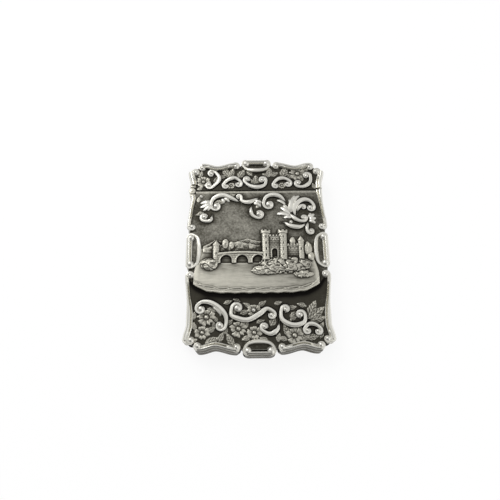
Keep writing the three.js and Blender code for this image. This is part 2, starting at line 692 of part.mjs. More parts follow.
function hills() {
  const half = TERRACE_HALF - HILL_IN;
  const crest = [[-half, HILL_ENDS], ...HILL_CREST, [half, HILL_ENDS]];
  const curve = new THREE.SplineCurve(crest.map(([x, up]) => vec(x, HORIZON_Y + up)));
  const low = HORIZON_Y - HILL_FOOT;
  const outline = [vec(half, low), ...curve.getPoints(HILL_STEPS).reverse(), vec(-half, low)];
  return solid(prism(outline, -BURIED, HORIZON_RISE));
}

// Terrace that rises from the horizon to a scalloped lip and breaks off there.
function terrace() {
  const lip = fractions(LIP_STEPS).map((t) => {
    const across = THREE.MathUtils.lerp(-1, 1, t);
    const corner = LIP_CORNER * Math.pow(Math.abs(across), LIP_ROUNDING);
    const scallop = LIP_WAVE * Math.sin(t * Math.PI * LIP_SCALLOPS);
    return vec(across * (TERRACE_HALF - LIP_ROLL / 2), LIP_Y + corner + scallop);
  });
  const shore = HORIZON_Y - SHORE;
  const far = TERRACE_HALF - SHORE_IN;
  const outline = [
    ...lip, vec(TERRACE_HALF, shore), vec(far, HORIZON_Y), vec(-far, HORIZON_Y), vec(-TERRACE_HALF, shore),
  ];
  const near = LIP_Y - BURIED;
  const slope = [
    vec(near, -BURIED), vec(HORIZON_Y, -BURIED), vec(HORIZON_Y, HORIZON_RISE), vec(near, LIP_RISE),
  ];
  const wedge = prism(slope, -TERRACE_HALF, TERRACE_HALF).rotateX(Math.PI / 2).rotateZ(Math.PI / 2);
  const ground = solid(prism(outline, -BURIED, LIP_RISE + BURIED)).intersect(solid(wedge));
  const crown = LIP_RISE + LIP_ROLL_RISE;
  const edge = sweep(shifted(lip, LIP_ROLL / 2, false), () => [
    [LIP_ROLL / 2, 0], [LIP_ROLL / 4, crown], [-LIP_ROLL / 4, crown], [-LIP_ROLL / 2, 0],
  ]);
  return ground.add(solid(edge));
}

function picture() {
  const { left, right, foot, top, rise } = CURTAIN;
  const parts = [
    terrace(),
    hills(),
    gatehouse(),
    solid(box(left, right, foot, top, -BURIED, rise)),
    bridge(BRIDGE),
    ...TOWERS.map(tower),
    ...TURRETS.map(turret),
    ...MOUNDS.map((place) => lump(place, COARSE)),
    ...TREES.map((place) => lump(place, SMALL)),
  ];
  const above = box(-TERRACE_HALF, TERRACE_HALF, LIP_Y - LIP_ROLL, SEAM_Y, 0, RELIEF);
  const lifted = geometryOf(joined(parts).intersect(solid(above))).translate(0, 0, FACE);
  return geometryOf(solid(lifted).intersect(bodyField));
}

// Walls and bezel

// Stretch of wall along part of a rim, between the two sheets.
function wall(line, first, last) {
  const outer = line.slice(first, last + 1);
  const inner = shifted(line, WALL, false).slice(first, last + 1);
  return prism([...outer, ...inner.reverse()], INNER_LOW, INNER_TOP);
}

const bodyCorner = [
  bodyRim.findIndex((p) => p.y <= -SHOULDER_Y),
  bodyRim.findLastIndex((p) => p.y <= -SHOULDER_Y && p.x > CORNER_X),
];
const lidCorner = [
  lidRim.findIndex((p) => p.y >= SHOULDER_Y),
  lidRim.findLastIndex((p) => p.y >= SHOULDER_Y && p.x < -CORNER_X),
];

// The far wall of the lid swings past the bezel's corner, so the bezel ends inside that wall's arc.
const swing = Math.min(lidHalf, rimAt(LID_MOUTH + BEZEL_RISE)) - WALL - HINGE_X - BEZEL_GAP;
const BEZEL_HALF = Math.sqrt(swing ** 2 - (BEZEL_RISE + SEAM_GAP) ** 2) + HINGE_X;
const bezelLow = BODY_MOUTH - BEZEL_DEPTH;
const bezelHigh = BODY_MOUTH + BEZEL_RISE;
const bezelFront = INNER_TOP - BEZEL_GAP;
const bezelBack = INNER_LOW + BEZEL_GAP;
const bezelSide = (x0, x1) => box(x0, x1, bezelLow, bezelHigh, bezelBack + BEZEL, bezelFront - BEZEL);

// Hinge

// Knuckle with a leaf that reaches the case's wall on one side of the seam.
function knuckle(side, low, high) {
  const lift = Math.asin(SEAM_GAP / 2 / KNUCKLE);
  const reach = -hingeRim - HINGE_X;
  const leaf = [vec(reach, -KNUCKLE), vec(reach, -SEAM_GAP / 2)];
  const outline = [...arc(0, 0, KNUCKLE, -lift, Math.PI * 1.5, ROUND), ...leaf];
  const bore = arc(0, 0, PIN + PIN_CLEAR, 0, Math.PI * 2, COARSE).slice(1);
  const placed = (points) => {
    const line = points.map((p) => vec(HINGE_X + p.x, SEAM_Y + side * p.y));
    return side > 0 ? line : line.reverse();
  };
  return prism(placed(outline), low, high, [placed(bore)]);
}

const hingeLow = RELIEF - KNUCKLE_PROUD;
const hingeHigh = FACE + KNUCKLE_PROUD;
const knuckleLength = (hingeHigh - hingeLow - 2 * KNUCKLE_GAP) / 3;
const backTop = hingeLow + knuckleLength;
const frontLow = hingeHigh - knuckleLength;
const pinLine = [[0, hingeLow], [PIN, hingeLow], [PIN, hingeHigh], [0, hingeHigh]];

// The case

const BACKWARDS = [1, 1, -1];
const cardCase = new THREE.Group();

function add(name, geometry, finish = silver) {
  const mesh = new THREE.Mesh(geometry, new THREE.MeshStandardMaterial(finish));
  mesh.name = name;
  cardCase.add(mesh);
}

add('body_front_panel', sheet(bodyRim, bodyFront, bodyField), oxidised);
add('body_back_panel', reflected(sheet(bodyRim, backRelief(), bodyField), BACKWARDS), oxidised);
add('body_left_wall', wall(bodyRim, 0, bodyCorner[0]));
add('body_bottom_wall', wall(bodyRim, bodyCorner[0], bodyCorner[1]));
add('body_right_wall', wall(bodyRim, bodyCorner[1], bodyRim.length - 1));
add('scene_relief', picture(), oxidised);
add('bezel_front', box(-BEZEL_HALF, BEZEL_HALF, bezelLow, bezelHigh, bezelFront - BEZEL, bezelFront));
add('bezel_back', box(-BEZEL_HALF, BEZEL_HALF, bezelLow, bezelHigh, bezelBack, bezelBack + BEZEL));
add('bezel_left', bezelSide(-BEZEL_HALF, BEZEL - BEZEL_HALF));
add('bezel_right', bezelSide(BEZEL_HALF - BEZEL, BEZEL_HALF));
add('lid_front_panel', sheet(lidRim, lidFront, lidField), oxidised);
add('lid_back_panel', reflected(sheet(lidRim, backLidRelief(), lidField), BACKWARDS), oxidised);
add('lid_right_wall', wall(lidRim, 0, lidCorner[0]));
add('lid_top_wall', wall(lidRim, lidCorner[0], lidCorner[1]));
add('lid_left_wall', wall(lidRim, lidCorner[1], lidRim.length - 1));
add('hinge_knuckle_back', knuckle(1, hingeLow, backTop));
add('lid_hinge_knuckle', knuckle(-1, backTop + KNUCKLE_GAP, frontLow - KNUCKLE_GAP));
add('hinge_knuckle_front', knuckle(1, frontLow, hingeHigh));
add('hinge_pin', turned(HINGE_X, SEAM_Y, pinLine, COARSE));
for (const [place, mount, signX, signY] of BORDER) {
  add(`front_border_${place}`, reflected(mounts[mount], [signX, signY, 1]));
  add(`back_border_${place}`, reflected(mounts[mount], [signX, signY, -1]));
}

export default cardCase;
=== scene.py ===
import json
import math
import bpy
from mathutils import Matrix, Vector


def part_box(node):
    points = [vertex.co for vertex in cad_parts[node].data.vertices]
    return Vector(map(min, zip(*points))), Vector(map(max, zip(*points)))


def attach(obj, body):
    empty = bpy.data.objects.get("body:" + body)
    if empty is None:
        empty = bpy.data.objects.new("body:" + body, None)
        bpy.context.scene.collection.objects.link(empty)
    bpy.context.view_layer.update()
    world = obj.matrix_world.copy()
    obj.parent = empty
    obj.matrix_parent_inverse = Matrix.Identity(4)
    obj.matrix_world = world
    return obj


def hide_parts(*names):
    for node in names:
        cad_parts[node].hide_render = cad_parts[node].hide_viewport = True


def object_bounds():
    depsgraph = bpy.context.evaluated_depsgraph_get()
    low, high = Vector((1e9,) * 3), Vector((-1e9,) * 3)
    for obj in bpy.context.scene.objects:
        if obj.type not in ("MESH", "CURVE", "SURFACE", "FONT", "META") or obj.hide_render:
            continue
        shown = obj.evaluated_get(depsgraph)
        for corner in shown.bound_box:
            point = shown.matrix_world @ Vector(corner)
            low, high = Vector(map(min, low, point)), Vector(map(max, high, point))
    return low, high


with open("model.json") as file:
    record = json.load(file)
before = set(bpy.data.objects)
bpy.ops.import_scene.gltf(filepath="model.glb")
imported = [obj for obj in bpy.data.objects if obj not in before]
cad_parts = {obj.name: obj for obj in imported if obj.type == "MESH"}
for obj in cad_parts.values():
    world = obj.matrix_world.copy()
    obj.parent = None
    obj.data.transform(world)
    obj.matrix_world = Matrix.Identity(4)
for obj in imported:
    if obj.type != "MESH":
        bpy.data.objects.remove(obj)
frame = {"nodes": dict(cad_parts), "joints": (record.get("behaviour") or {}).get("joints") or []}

from types import SimpleNamespace

import bpy
import numpy as np
from bpy.props import FloatProperty, FloatVectorProperty, IntProperty, PointerProperty
from bpy.types import Operator, Panel, PropertyGroup
from mathutils import Matrix, Vector

bl_info = {
    "name": "Card case",
    "version": (1, 0, 0),
    "blender": (4, 5, 0),
    "location": "3D View > Sidebar > Card case",
    "description": "Stamped silver card case with a scroll border and a relief picture",
    "category": "Object",
}

MM = 0.001


# Sizes


def length(name, description, millimetres):
    return FloatProperty(
        name=name, description=description, default=millimetres * MM, unit="LENGTH", precision=5)


def angle(name, description, degrees):
    return FloatProperty(
        name=name, description=description, default=math.radians(degrees), unit="ROTATION")


def share(name, description, default):
    return FloatProperty(
        name=name, description=description, default=default, min=0, max=1, subtype="FACTOR")


def colour(name, description, *rgb):
    return FloatVectorProperty(
        name=name, description=description, default=(*rgb, 1), size=4, min=0, subtype="COLOR")


class CardCaseRim(PropertyGroup):
    """Line of the rim."""

    hip: length("Hip", "Half width of the case at its middle", 31.9)
    hip_reach: length("Hip reach", "Half length of the straight part at the middle of a side", 11)
    slim: length("Slim", "How much narrower the rolls are towards the hips", 1.2)
    slim_low: length("Slim low", "Where the rolls start to widen along a side", 22)
    slim_high: length("Slim high", "Where the rolls reach their full width", 32)
    waist: length("Waist", "Half width of the case at its seam", 30.6)
    waist_low: length("Waist low", "Where the waist starts along a side", 27)
    waist_high: length("Waist high", "Where the waist ends along a side", 35.5)
    shoulder: length("Shoulder", "Half width of the case at its shoulders", 32.1)
    shoulder_y: length("Shoulder place", "Where a side ends", 43.2)
    end: length("End", "Half length of the case at its middle", 47.4)
    end_reach: length("End reach", "Half width of the straight part at the middle of an end", 6.6)
    end_side: length("End side", "Half length of the case beside its end cartouches", 46)
    end_side_low: length("End side low", "Where the part beside the cartouche starts", 9.2)
    end_side_high: length("End side high", "Where the part beside the cartouche ends", 10.5)
    dip: length("Dip", "Half length of the case at the dips of its ends", 44.1)
    dip_x: length("Dip place", "Where the dip of an end is", 20)
    crest: length("Crest", "Half length of the case at its corners", 45.6)
    crest_x: length("Crest place", "Where the corner's crest starts", 27)
    corner: length("Corner", "Where an end meets its corner", 29.4)


class CardCaseRelief(PropertyGroup):
    """Sizes of the relief."""

    cell: length("Sheet cell", "Size of the cells of the stamped sheets", 0.25)
    picture_cell: length("Picture cell", "Size of the cells of the picture", 0.165)
    strap: length("Strap width", "Width of a scroll strap at its widest", 2.3)
    strap_rise: length("Strap rise", "Height of a scroll strap above the sheet", 0.95)
    strap_step: length("Strap step", "Distance between two rings of a strap", 0.3)
    ribbon: length("Ribbon width", "Width of the ribbon round a cartouche", 2.0)
    eye: length("Eye", "Radius of the eye that ends a roll", 1.75)
    big_eye: length("Big eye", "Radius of the eyes of a cartouche", 2.45)
    flower: length("Flower rise", "Height of the flowers above the sheet", 0.6)
    leaf: length("Leaf rise", "Height of the leaves above the sheet", 0.45)
    lip_y: length("Terrace lip", "Place of the picture's front lip", -21.3)
    lip_rise: length("Lip rise", "Height of the picture's ground at its lip", 1.42)
    horizon_y: length("Horizon", "Place of the picture's horizon", 1)
    horizon_rise: length("Horizon rise", "Height of the picture's ground at its horizon", 0.3)
    terrace: length("Terrace", "Half width of the picture's ground", 29.7)
    terrace_x: length("Terrace middle", "Place of the middle of the picture's ground", -0.8)
    hinge_clear: length("Hinge clearance", "Length of the border left out on each side of the hinge", 3.4)
    seed: IntProperty(name="Seed", description="Seed of the rocks and trees", default=7)


class CardCaseFinish(PropertyGroup):
    """Colours of the silver."""

    bright: colour("Bright silver", "Silver where it is rubbed", 0.80, 0.785, 0.72)
    worn: colour("Worn silver", "Silver of the sheets and the picture", 0.62, 0.60, 0.52)
    oxide: colour("Oxide", "Dark silver in the ground and the grooves", 0.058, 0.054, 0.042)
    # Black for the deepest grooves and for painted shadow: under the terrace's lip and in the lid's seam.
    oxide_and_shadow_black: colour("Oxide_and_shadow_black", "Black silver in the deepest corners", 0.010, 0.009, 0.008)
    polish: share("Polish", "Roughness of the rubbed silver", 0.24)
    matt: share("Matt", "Roughness of the dark ground", 0.5)


class CardCaseStage(PropertyGroup):
    """Camera and floor."""

    azimuth: angle("Azimuth", "Camera's angle round the case", -1.17)
    elevation: angle("Elevation", "Camera's height as an angle", 69.69)
    roll: angle("Roll", "Camera's roll about its view", 0.52)
    distance: length("Distance", "Camera's distance from its target", 215.56)
    target_x: length("Target X", "Point the camera looks at", -3.70)
    target_y: length("Target Y", "Point the camera looks at", -0.31)
    target_z: length("Target Z", "Point the camera looks at", 11)
    lens: FloatProperty(name="Lens", description="Focal length on a 36 mm sensor, in millimetres", default=32.4)
    floor: length("Floor", "Half size of the floor", 1500)


def in_mm(group):
    """Values of a group of lengths, in millimetres."""
    values = {name: getattr(group, name) for name in group.__annotations__}
    return SimpleNamespace(**{name: v / MM if isinstance(v, float) else v for name, v in values.items()})


def rim_sizes():
    return in_mm(bpy.context.scene.card_case_rim)


def relief_sizes():
    return in_mm(bpy.context.scene.card_case_relief)


def frame_sizes():
    """Heights and places read from the fixed frame, in millimetres."""
    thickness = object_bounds()[1][2] / MM
    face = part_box("scene_relief")[0].z / MM
    return SimpleNamespace(
        thickness=thickness,
        middle=thickness / 2,
        face=face,
        deep=thickness - face,
        inner=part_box("lid_right_wall")[1].z / MM,
        body_mouth=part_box("body_front_panel")[1].y / MM,
        lid_mouth=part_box("lid_front_panel")[0].y / MM,
        hinge=Vector(frame["joints"][0]["pos_m"]) / MM,
    )


SIZES = frame_sizes()


# Lines and fields

NOISE_CELLS = 64
NOISE_LAYERS = 3


def smooth(t):
    """Smooth step from 0 to 1."""
    t = np.clip(t, 0, 1)
    return t * t * (3 - 2 * t)


def dome(distance):
    """Round dome of height 1 over distances from 0 to 1."""
    return np.sqrt(np.clip(1 - distance ** 2, 0, 1))


def spread(distance, width):
    """Soft bump of height 1 that fades over a width."""
    return np.exp(-(distance / width) ** 2)


def wave(stations, place):
    """Half size of the rim at places along a side, which swells smoothly from station to station."""
    at = np.abs(np.asarray(place, float))
    where, size = np.array(stations, float).T
    i = np.clip(np.searchsorted(where, at) - 1, 0, len(where) - 2)
    return size[i] + (size[i + 1] - size[i]) * smooth((at - where[i]) / (where[i + 1] - where[i]))


def side_at(y):
    """Half width of the case at places along its length."""
    r = rim_sizes()
    stations = [(0, r.hip), (r.hip_reach, r.hip), (r.waist_low, r.waist), (r.waist_high, r.waist),
                (r.shoulder_y, r.shoulder)]
    return wave(stations, np.clip(np.abs(y), 0, r.shoulder_y))


def slim_at(y):
    """How much narrower the rolls are at places along a side."""
    r = rim_sizes()
    return r.slim * smooth((r.slim_high - np.abs(y)) / (r.slim_high - r.slim_low))


def end_at(x):
    """Half length of the case at places across its width, with straight cuts across its corners."""
    r = rim_sizes()
    stations = [(0, r.end), (r.end_reach, r.end), (r.end_side_low, r.end_side), (r.end_side_high, r.end_side),
                (r.dip_x, r.dip), (r.crest_x, r.crest), (r.corner, r.crest)]
    at = np.abs(x)
    cut = r.crest - (at - r.corner) * (r.crest - r.shoulder_y) / (r.shoulder - r.corner)
    return np.where(at > r.corner, cut, wave(stations, np.minimum(at, r.corner)))


def gaps(points):
    """Distance from each point of a line to the next."""
    return np.hypot(*np.diff(points, axis=0).T)


def walk(points):
    """Distance along a line at each of its points."""
    return np.concatenate([[0], np.cumsum(gaps(points))])


def smooth_line(points):
    """Smooth line through points, sampled at even steps."""
    p = np.array(points, float)
    t = walk(p)
    tangent = np.gradient(p, t, axis=0)
    count = max(4, int(gaps(p).sum() / relief_sizes().strap_step))
    at = np.linspace(0, t[-1], count * 4)
    i = np.clip(np.searchsorted(t, at) - 1, 0, len(t) - 2)
    span = (t[i + 1] - t[i])[:, None]
    s = (at - t[i])[:, None] / span
    fine = ((1 + 2 * s) * (1 - s) ** 2 * p[i] + s * (1 - s) ** 2 * span * tangent[i]
            + s ** 2 * (3 - 2 * s) * p[i + 1] + s ** 2 * (s - 1) * span * tangent[i + 1])
    walked = walk(fine)
    even = np.linspace(0, walked[-1], count)
    return np.column_stack([np.interp(even, walked, fine[:, axis]) for axis in (0, 1)])


def noise(x, y, seed):
    """Smooth noise from -1 to 1 with a grain of 1."""
    table = np.random.default_rng(seed).uniform(-1, 1, (NOISE_CELLS, NOISE_CELLS))
    column, row = np.floor(x).astype(int), np.floor(y).astype(int)
    across, up = smooth(x - column), smooth(y - row)
    corner = lambda i, j: table[(row + j) % NOISE_CELLS, (column + i) % NOISE_CELLS]
    low = corner(0, 0) * (1 - across) + corner(1, 0) * across
    high = corner(0, 1) * (1 - across) + corner(1, 1) * across
    return low * (1 - up) + high * up


def rough(x, y, grain, seed):
    """Layers of noise from -1 to 1, each half as large and half as deep as the last."""
    layers = [noise(x / grain * 2 ** k, y / grain * 2 ** k, seed + k) / 2 ** k for k in range(NOISE_LAYERS)]
    return sum(layers) / (2 - 2 ** (1 - NOISE_LAYERS))


def blur(field, radius):
    """Box blur of a field of cells, twice each way."""
    for axis in (0, 1, 0, 1):
        pad = [(radius + 1, radius) if a == axis else (0, 0) for a in (0, 1)]
        total = np.cumsum(np.pad(field, pad, mode="edge"), axis=axis)
        size = field.shape[axis]
        high = np.take(total, range(2 * radius + 1, 2 * radius + 1 + size), axis=axis)
        field = (high - np.take(total, range(size), axis=axis)) / (2 * radius + 1)
    return field


def sunk(field, cell, *layers):
    """How far each cell lies below the cells round it, from layers of a reach and a weight."""
    depth = sum(blur(field, max(1, round(reach / cell))) * weight for reach, weight in layers)
    return (depth - sum(weight for _, weight in layers) * field).ravel()


# Scrolls: a strap runs out of one eye, through its points and into another. An eye is x, y, turn and reach.

LID_SCROLLS = [
    ((-22.9, 42.2, 1, 2.0), [(-18.9, 39.5)], (-24.0, 35.8, -1, 2.0)),
    ((-15.6, 35.2, 1, 1.5), [(-13.8, 38.9), (-11.2, 39.7)], (-9.2, 36.2, -1, 1.8)),
    ((-4.6, 38.7, -1, 1.8), [(-3.4, 35.2), (0.4, 34.2), (4.4, 35.9)], (3.0, 38.3, 1, 2.0)),
    ((9.8, 35.2, 1, 1.5), [(11.0, 38.7), (13.6, 39.3)], (16.0, 36.2, -1, 1.9)),
    ((21.4, 36.4, -1, 1.9), [(23.6, 34.3), (27.4, 36.9)], (25.8, 40.6, 1, 2.0)),
]
UPPER_SCROLLS = [
    ((-20.3, 23.9, 1, 2.6), [(-22.2, 27.3), (-17.4, 29.8), (-12.0, 27.7), (-7.6, 25.4)], None),
    ((-26.0, 17.9, -1, 2.2), [(-23.2, 15.9), (-22.0, 20.1)], None),
    ((-9.0, 28.8, 1, 1.2), [(-7.6, 26.9), (-4.6, 25.7), (-0.6, 27.3), (2.0, 28.9)], None),
    (None, [(-2.0, 24.9), (-3.0, 21.7), (-2.2, 18.7)], (1.0, 19.4, 1, 2.4)),
    ((6.1, 24.7, 1, 2.8), [(4.6, 28.4), (8.6, 29.8), (11.4, 29.0), (13.6, 27.0), (15.2, 24.6)], None),
    (None, [(15.2, 20.8), (17.3, 18.0), (19.8, 15.9), (22.2, 15.2)], (23.1, 17.0, 1, 1.7)),
    (None, [(20.4, 16.9), (18.9, 18.9), (18.7, 21.4), (19.7, 24.1), (22.0, 26.4), (24.6, 27.0), (27.0, 26.0)],
     (26.9, 22.6, -1, 2.0)),
    (None, [(19.9, 19.0), (20.5, 21.6), (21.8, 23.4)], (23.3, 22.8, -1, 1.0)),
    (None, [(11.5, 14.5), (13.4, 14.6), (15.4, 13.2), (18.0, 12.2), (20.8, 12.1), (23.1, 13.2), (24.4, 15.2)],
     None),
    (None, [(25.4, 16.0), (24.9, 13.4), (24.4, 11.4)], (26.3, 10.0, 1, 1.7)),
]
LOWER_SCROLLS = [
    ((-26.7, -28.4, 1, 2.4), [(-26.5, -25.3), (-23.1, -25.3), (-19.8, -26.8), (-17.0, -29.1), (-15.2, -31.9)],
     (-17.6, -36.2, -1, 2.4)),
    ((-9.9, -28.2, -1, 2.6), [(-12.6, -31.4), (-9.2, -33.2), (-5.4, -33.8), (0.4, -31.0), (4.0, -28.6)],
     (5.8, -31.6, -1, 1.9)),
    ((2.6, -37.0, -1, 2.0), [(5.4, -40.2), (8.4, -38.2), (9.4, -34.2)], None),
    ((12.4, -29.0, -1, 2.0), [(10.4, -33.2), (16.6, -36.4), (21.0, -34.4)], (19.0, -31.6, 1, 2.2)),
    ((22.0, -38.8, 1, 1.7), [(22.8, -35.9), (25.4, -36.1)], (26.8, -39.2, -1, 1.7)),
]
BACK_SCROLLS = [
    ((20.0, 5.4, -1, 1.8), [(18.4, 10.0), (18.6, 17.0), (23.0, 20.6)], (24.0, 16.0, -1, 1.8)),
    ((5.0, 24.2, -1, 1.3), [(5.6, 21.6), (9.6, 20.6), (14.2, 22.0)], (13.4, 24.4, 1, 1.3)),
]
BACK_LID_SCROLLS = [((5.0, 38.9, -1, 1.6), [(8.0, 34.9), (16.0, 35.3), (22.4, 35.7)], (24.0, 39.3, 1, 1.6))]

# Lobes of leaves that grow from the scrolls: the share of a strap's width, and the lobe's points. Beads: x and y.

FRONDS = [
    (0.95, [(16.6, 18.2), (12.9, 19.3), (9.2, 19.1)]),
    (1.0, [(16.4, 19.0), (13.9, 21.5), (11.3, 23.0)]),
    (0.85, [(16.4, 20.0), (14.6, 22.5), (13.0, 24.6)]),
    (0.75, [(17.6, 17.5), (14.9, 17.5), (12.5, 16.9)]),
    (0.9, [(16.5, 19.6), (16.7, 23.0), (16.8, 25.8), (15.8, 27.8)]),
    (1.1, [(16.9, 19.8), (17.4, 24.2), (18.2, 27.2), (19.7, 30.0)]),
    (0.8, [(17.7, 23.4), (18.8, 26.4), (20.2, 28.3), (22.4, 29.2)]),
    (0.75, [(25.6, 16.4), (27.2, 18.0), (29.0, 19.2)]),
    (0.8, [(25.6, 16.2), (27.8, 16.5), (29.7, 16.7)]),
    (0.75, [(25.7, 15.8), (27.6, 14.8), (29.2, 13.8)]),
    (0.7, [(25.4, 16.6), (26.3, 18.4), (26.5, 20.0)]),
    (0.6, [(14.5, 23.9), (12.9, 25.6), (10.8, 26.6), (9.2, 26.2)]),
    (0.8, [(-22.6, 26.4), (-25.4, 26.0), (-28.8, 25.2)]),
    (0.85, [(-22.7, 25.8), (-25.4, 24.2), (-29.0, 22.8)]),
    (0.8, [(-22.9, 25.2), (-24.8, 22.9), (-27.2, 20.9)]),
    (0.7, [(-23.0, 25.0), (-23.7, 22.8), (-24.8, 20.8)]),
    (0.6, [(-21.4, -27.2), (-18.8, -29.2), (-17.6, -31.2), (-17.9, -32.8)]),
    (0.6, [(-16.6, 28.4), (-14.8, 27.2), (-13.4, 25.4)]),
    (0.6, [(-17.6, 28.2), (-16.8, 26.6), (-16.6, 24.6)]),
    (0.7, [(-1.8, 25.4), (0.2, 24.8), (1.6, 23.4), (1.8, 22.4)]),
    (0.7, [(-1.2, 26.2), (1.2, 26.0), (3.0, 25.2)]),
]
BEADS = [(-28.0, 29.2), (-2.4, -29.2), (16.7, 14.8)]

# Flowers: x, y, radius, petals and turn. Leaves: x, y, length, width and angle in degrees.

FRONT_FLOWERS = [
    (-27.0, 37.6, 3.7, 5, 0.3), (21.2, 42.0, 4.2, 5, 0.2), (-12.8, 35.2, 2.0, 4, 0.5),
    (13.0, 35.1, 2.0, 4, 0.1), (-24.0, -32.4, 4.4, 5, 0.3), (-25.8, -39.4, 3.6, 4, 0.1),
    (-9.4, -37.8, 4.2, 5, 0.6), (-2.2, -39.6, 3.6, 4, 0.2), (16.0, -41.0, 4.2, 5, 0.5),
    (-2.2, -29.4, 3.4, 5, 0.4),
]
FRONT_LEAVES = [
    (-15.4, 42.8, 6.2, 2.9, 125), (-12.6, 42.6, 5.0, 2.4, 70), (-7.6, 42.0, 5.2, 2.8, 55),
    (-17.8, 40.6, 3.4, 1.7, 160), (-0.2, 38.8, 4.2, 2.6, 92), (-1.8, 37.6, 3.0, 1.6, 130),
    (1.2, 37.8, 3.0, 1.6, 55), (6.8, 43.2, 4.4, 2.6, 95), (9.2, 41.8, 4.0, 2.2, 20), (5.0, 41.2, 3.6, 2.0, 160),
    (14.4, 42.8, 6.4, 3.2, 70), (17.0, 40.6, 3.8, 1.9, 140), (25.6, 44.2, 3.2, 1.7, 20),
    (-28.4, 42.0, 3.6, 1.8, 70), (-3.6, 42.6, 3.8, 1.9, 130), (-28.6, 33.8, 3.2, 1.6, 40),
    (29.2, 34.8, 3.0, 1.5, 110), (-20.6, 38.6, 3.6, 1.8, 75), (23.2, 38.6, 2.8, 1.4, 40),
    (-21.0, -43.0, 6.0, 2.6, 20), (-13.2, -42.6, 5.6, 2.4, 118), (-17.2, -41.4, 4.0, 1.9, 65),
    (-6.0, -42.2, 3.6, 1.9, 200), (6.4, -34.6, 4.0, 2.4, 60), (12.6, -38.8, 6.0, 2.4, 112),
    (20.6, -42.0, 4.4, 2.2, 25), (24.0, -41.8, 5.2, 2.4, 8), (10.6, -42.4, 3.6, 1.8, 170),
    (-5.8, -35.8, 3.2, 1.7, 60), (16.4, -31.4, 4.4, 2.0, 30), (15.4, -28.2, 3.8, 1.8, 12),
    (-18.4, 26.0, 5.2, 2.2, 18), (-28.4, 19.6, 3.6, 1.8, 200), (0.8, 24.4, 3.8, 1.8, 240),
    (-12.4, 29.8, 3.2, 1.5, 12), (-29.2, 27.6, 3.0, 1.5, 80), (-21.6, -38.0, 3.8, 1.9, 30),
    (-29.4, -43.0, 3.2, 1.6, 30), (-15.2, -38.4, 3.2, 1.7, 75), (2.0, -42.6, 3.6, 1.8, 160),
    (8.8, -41.8, 3.6, 1.8, 75), (-6.6, -30.2, 3.8, 1.9, 20), (15.8, -33.2, 3.0, 1.5, 20),
    (-21.8, -29.0, 3.4, 1.6, -20), (-19.6, -33.6, 3.0, 1.5, -60), (28.6, -36.6, 3.0, 1.5, 60),
    (19.0, -38.4, 3.4, 1.7, 150), (5.4, -29.6, 2.2, 1.2, 90), (24.6, -28.8, 7.4, 3.0, 64),
    (26.8, -30.8, 7.6, 3.2, 38), (27.2, -33.6, 6.2, 2.8, 12), (24.4, -32.6, 3.4, 1.6, 25),
    (-14.2, -25.4, 3.6, 1.7, 20), (-10.2, -24.6, 3.2, 1.5, 160), (1.6, -26.2, 3.8, 1.8, 35),
    (-5.4, -26.8, 3.4, 1.6, 150), (9.0, -26.0, 3.4, 1.6, 15), (19.8, -27.0, 3.8, 1.8, 165),
    (-29.6, -31.4, 3.2, 1.6, 85), (-29.4, -36.4, 3.4, 1.6, 100), (-11.6, -29.4, 3.0, 1.5, 110),
    (0.6, -34.6, 3.4, 1.7, 20), (13.6, -34.8, 3.2, 1.6, 35), (-13.4, -34.8, 3.4, 1.7, 40),
    (28.2, -40.4, 3.6, 1.8, 70), (-20.4, -36.0, 3.0, 1.5, 100),
]
BACK_FLOWERS = [
    (25.4, 11.2, 2.6, 5, 0.3), (25.0, 28.0, 3.2, 5, 0.1), (9.4, 28.0, 2.6, 5, 0.5), (0.0, 39.0, 2.8, 5, 0.2),
    (14.8, 41.4, 2.3, 5, 0.3),
]
BACK_LEAVES = [
    (20.0, 26.8, 4.6, 2.0, 12), (5.0, 28.2, 4.0, 1.8, 170), (24.6, 23.4, 3.4, 1.6, 80),
    (14.4, 28.4, 4.4, 1.9, 20), (8.2, 41.6, 4.0, 1.8, 30), (20.0, 41.0, 4.0, 1.8, 150),
    (26.8, 43.0, 2.8, 1.4, 70), (25.6, 5.0, 3.4, 1.5, 90), (0.9, 26.6, 3.0, 1.5, 60), (9.4, 23.4, 3.2, 1.6, 90),
    (12.0, 38.6, 3.2, 1.6, 40), (18.6, 38.4, 3.2, 1.6, 140), (18.0, 32.0, 3.6, 1.7, 165),
    (8.0, 31.4, 3.6, 1.7, 15),
]

# Shares of a strap's full width in a curl, at its neck and at a free tip, and the lengths over which it changes.

CURL_SWEEP = 1.5 * math.pi
CURL_SHRINK = 0.5
CURL_STEPS = 15
CURL_SHARE = 0.42
NECK_SHARE = 0.66
TIP_SHARE = 0.08
TIP_POWER = 0.8
NECK = 6.5
NECK_EYE = 1.7
SWELL = 7.0
TIP = 7.0


def curl(eye, toward):
    """Points of a curl that winds in round an eye, from where a strap out of one point first touches it."""
    x, y, turn, reach = eye
    dx, dy = toward[0] - x, toward[1] - y
    first = math.atan2(dy, dx) + turn * math.acos(min(1, reach / math.hypot(dx, dy)))
    t = np.linspace(0, 1, CURL_STEPS)
    bearing = first + turn * t * CURL_SWEEP
    radius = reach * (1 - t * CURL_SHRINK)
    return [(x + r * math.cos(a), y + r * math.sin(a)) for r, a in zip(radius, bearing)]


def strap_share(walked, eye):
    """Share of its full width that a strap has at distances from one of its ends."""
    if not eye:
        return TIP_SHARE + (1 - TIP_SHARE) * smooth(walked / TIP) ** TIP_POWER
    neck = NECK * eye[3] / NECK_EYE
    wound = CURL_SHARE + (NECK_SHARE - CURL_SHARE) * np.clip(walked / neck, 0, 1)
    return wound + (1 - NECK_SHARE) * smooth((walked - neck) / SWELL)


def strap_line(scroll):
    """Line of a scroll and the share of the full width at each of its points."""
    start, via, end = scroll
    points = list(via)
    if start:
        points = curl(start, via[0])[::-1] + points
    if end:
        points = points + curl(end, via[-1])
    line = smooth_line(points)
    walked = np.linspace(0, gaps(line).sum(), len(line))
    return line, np.minimum(strap_share(walked, start), strap_share(walked[::-1], end))


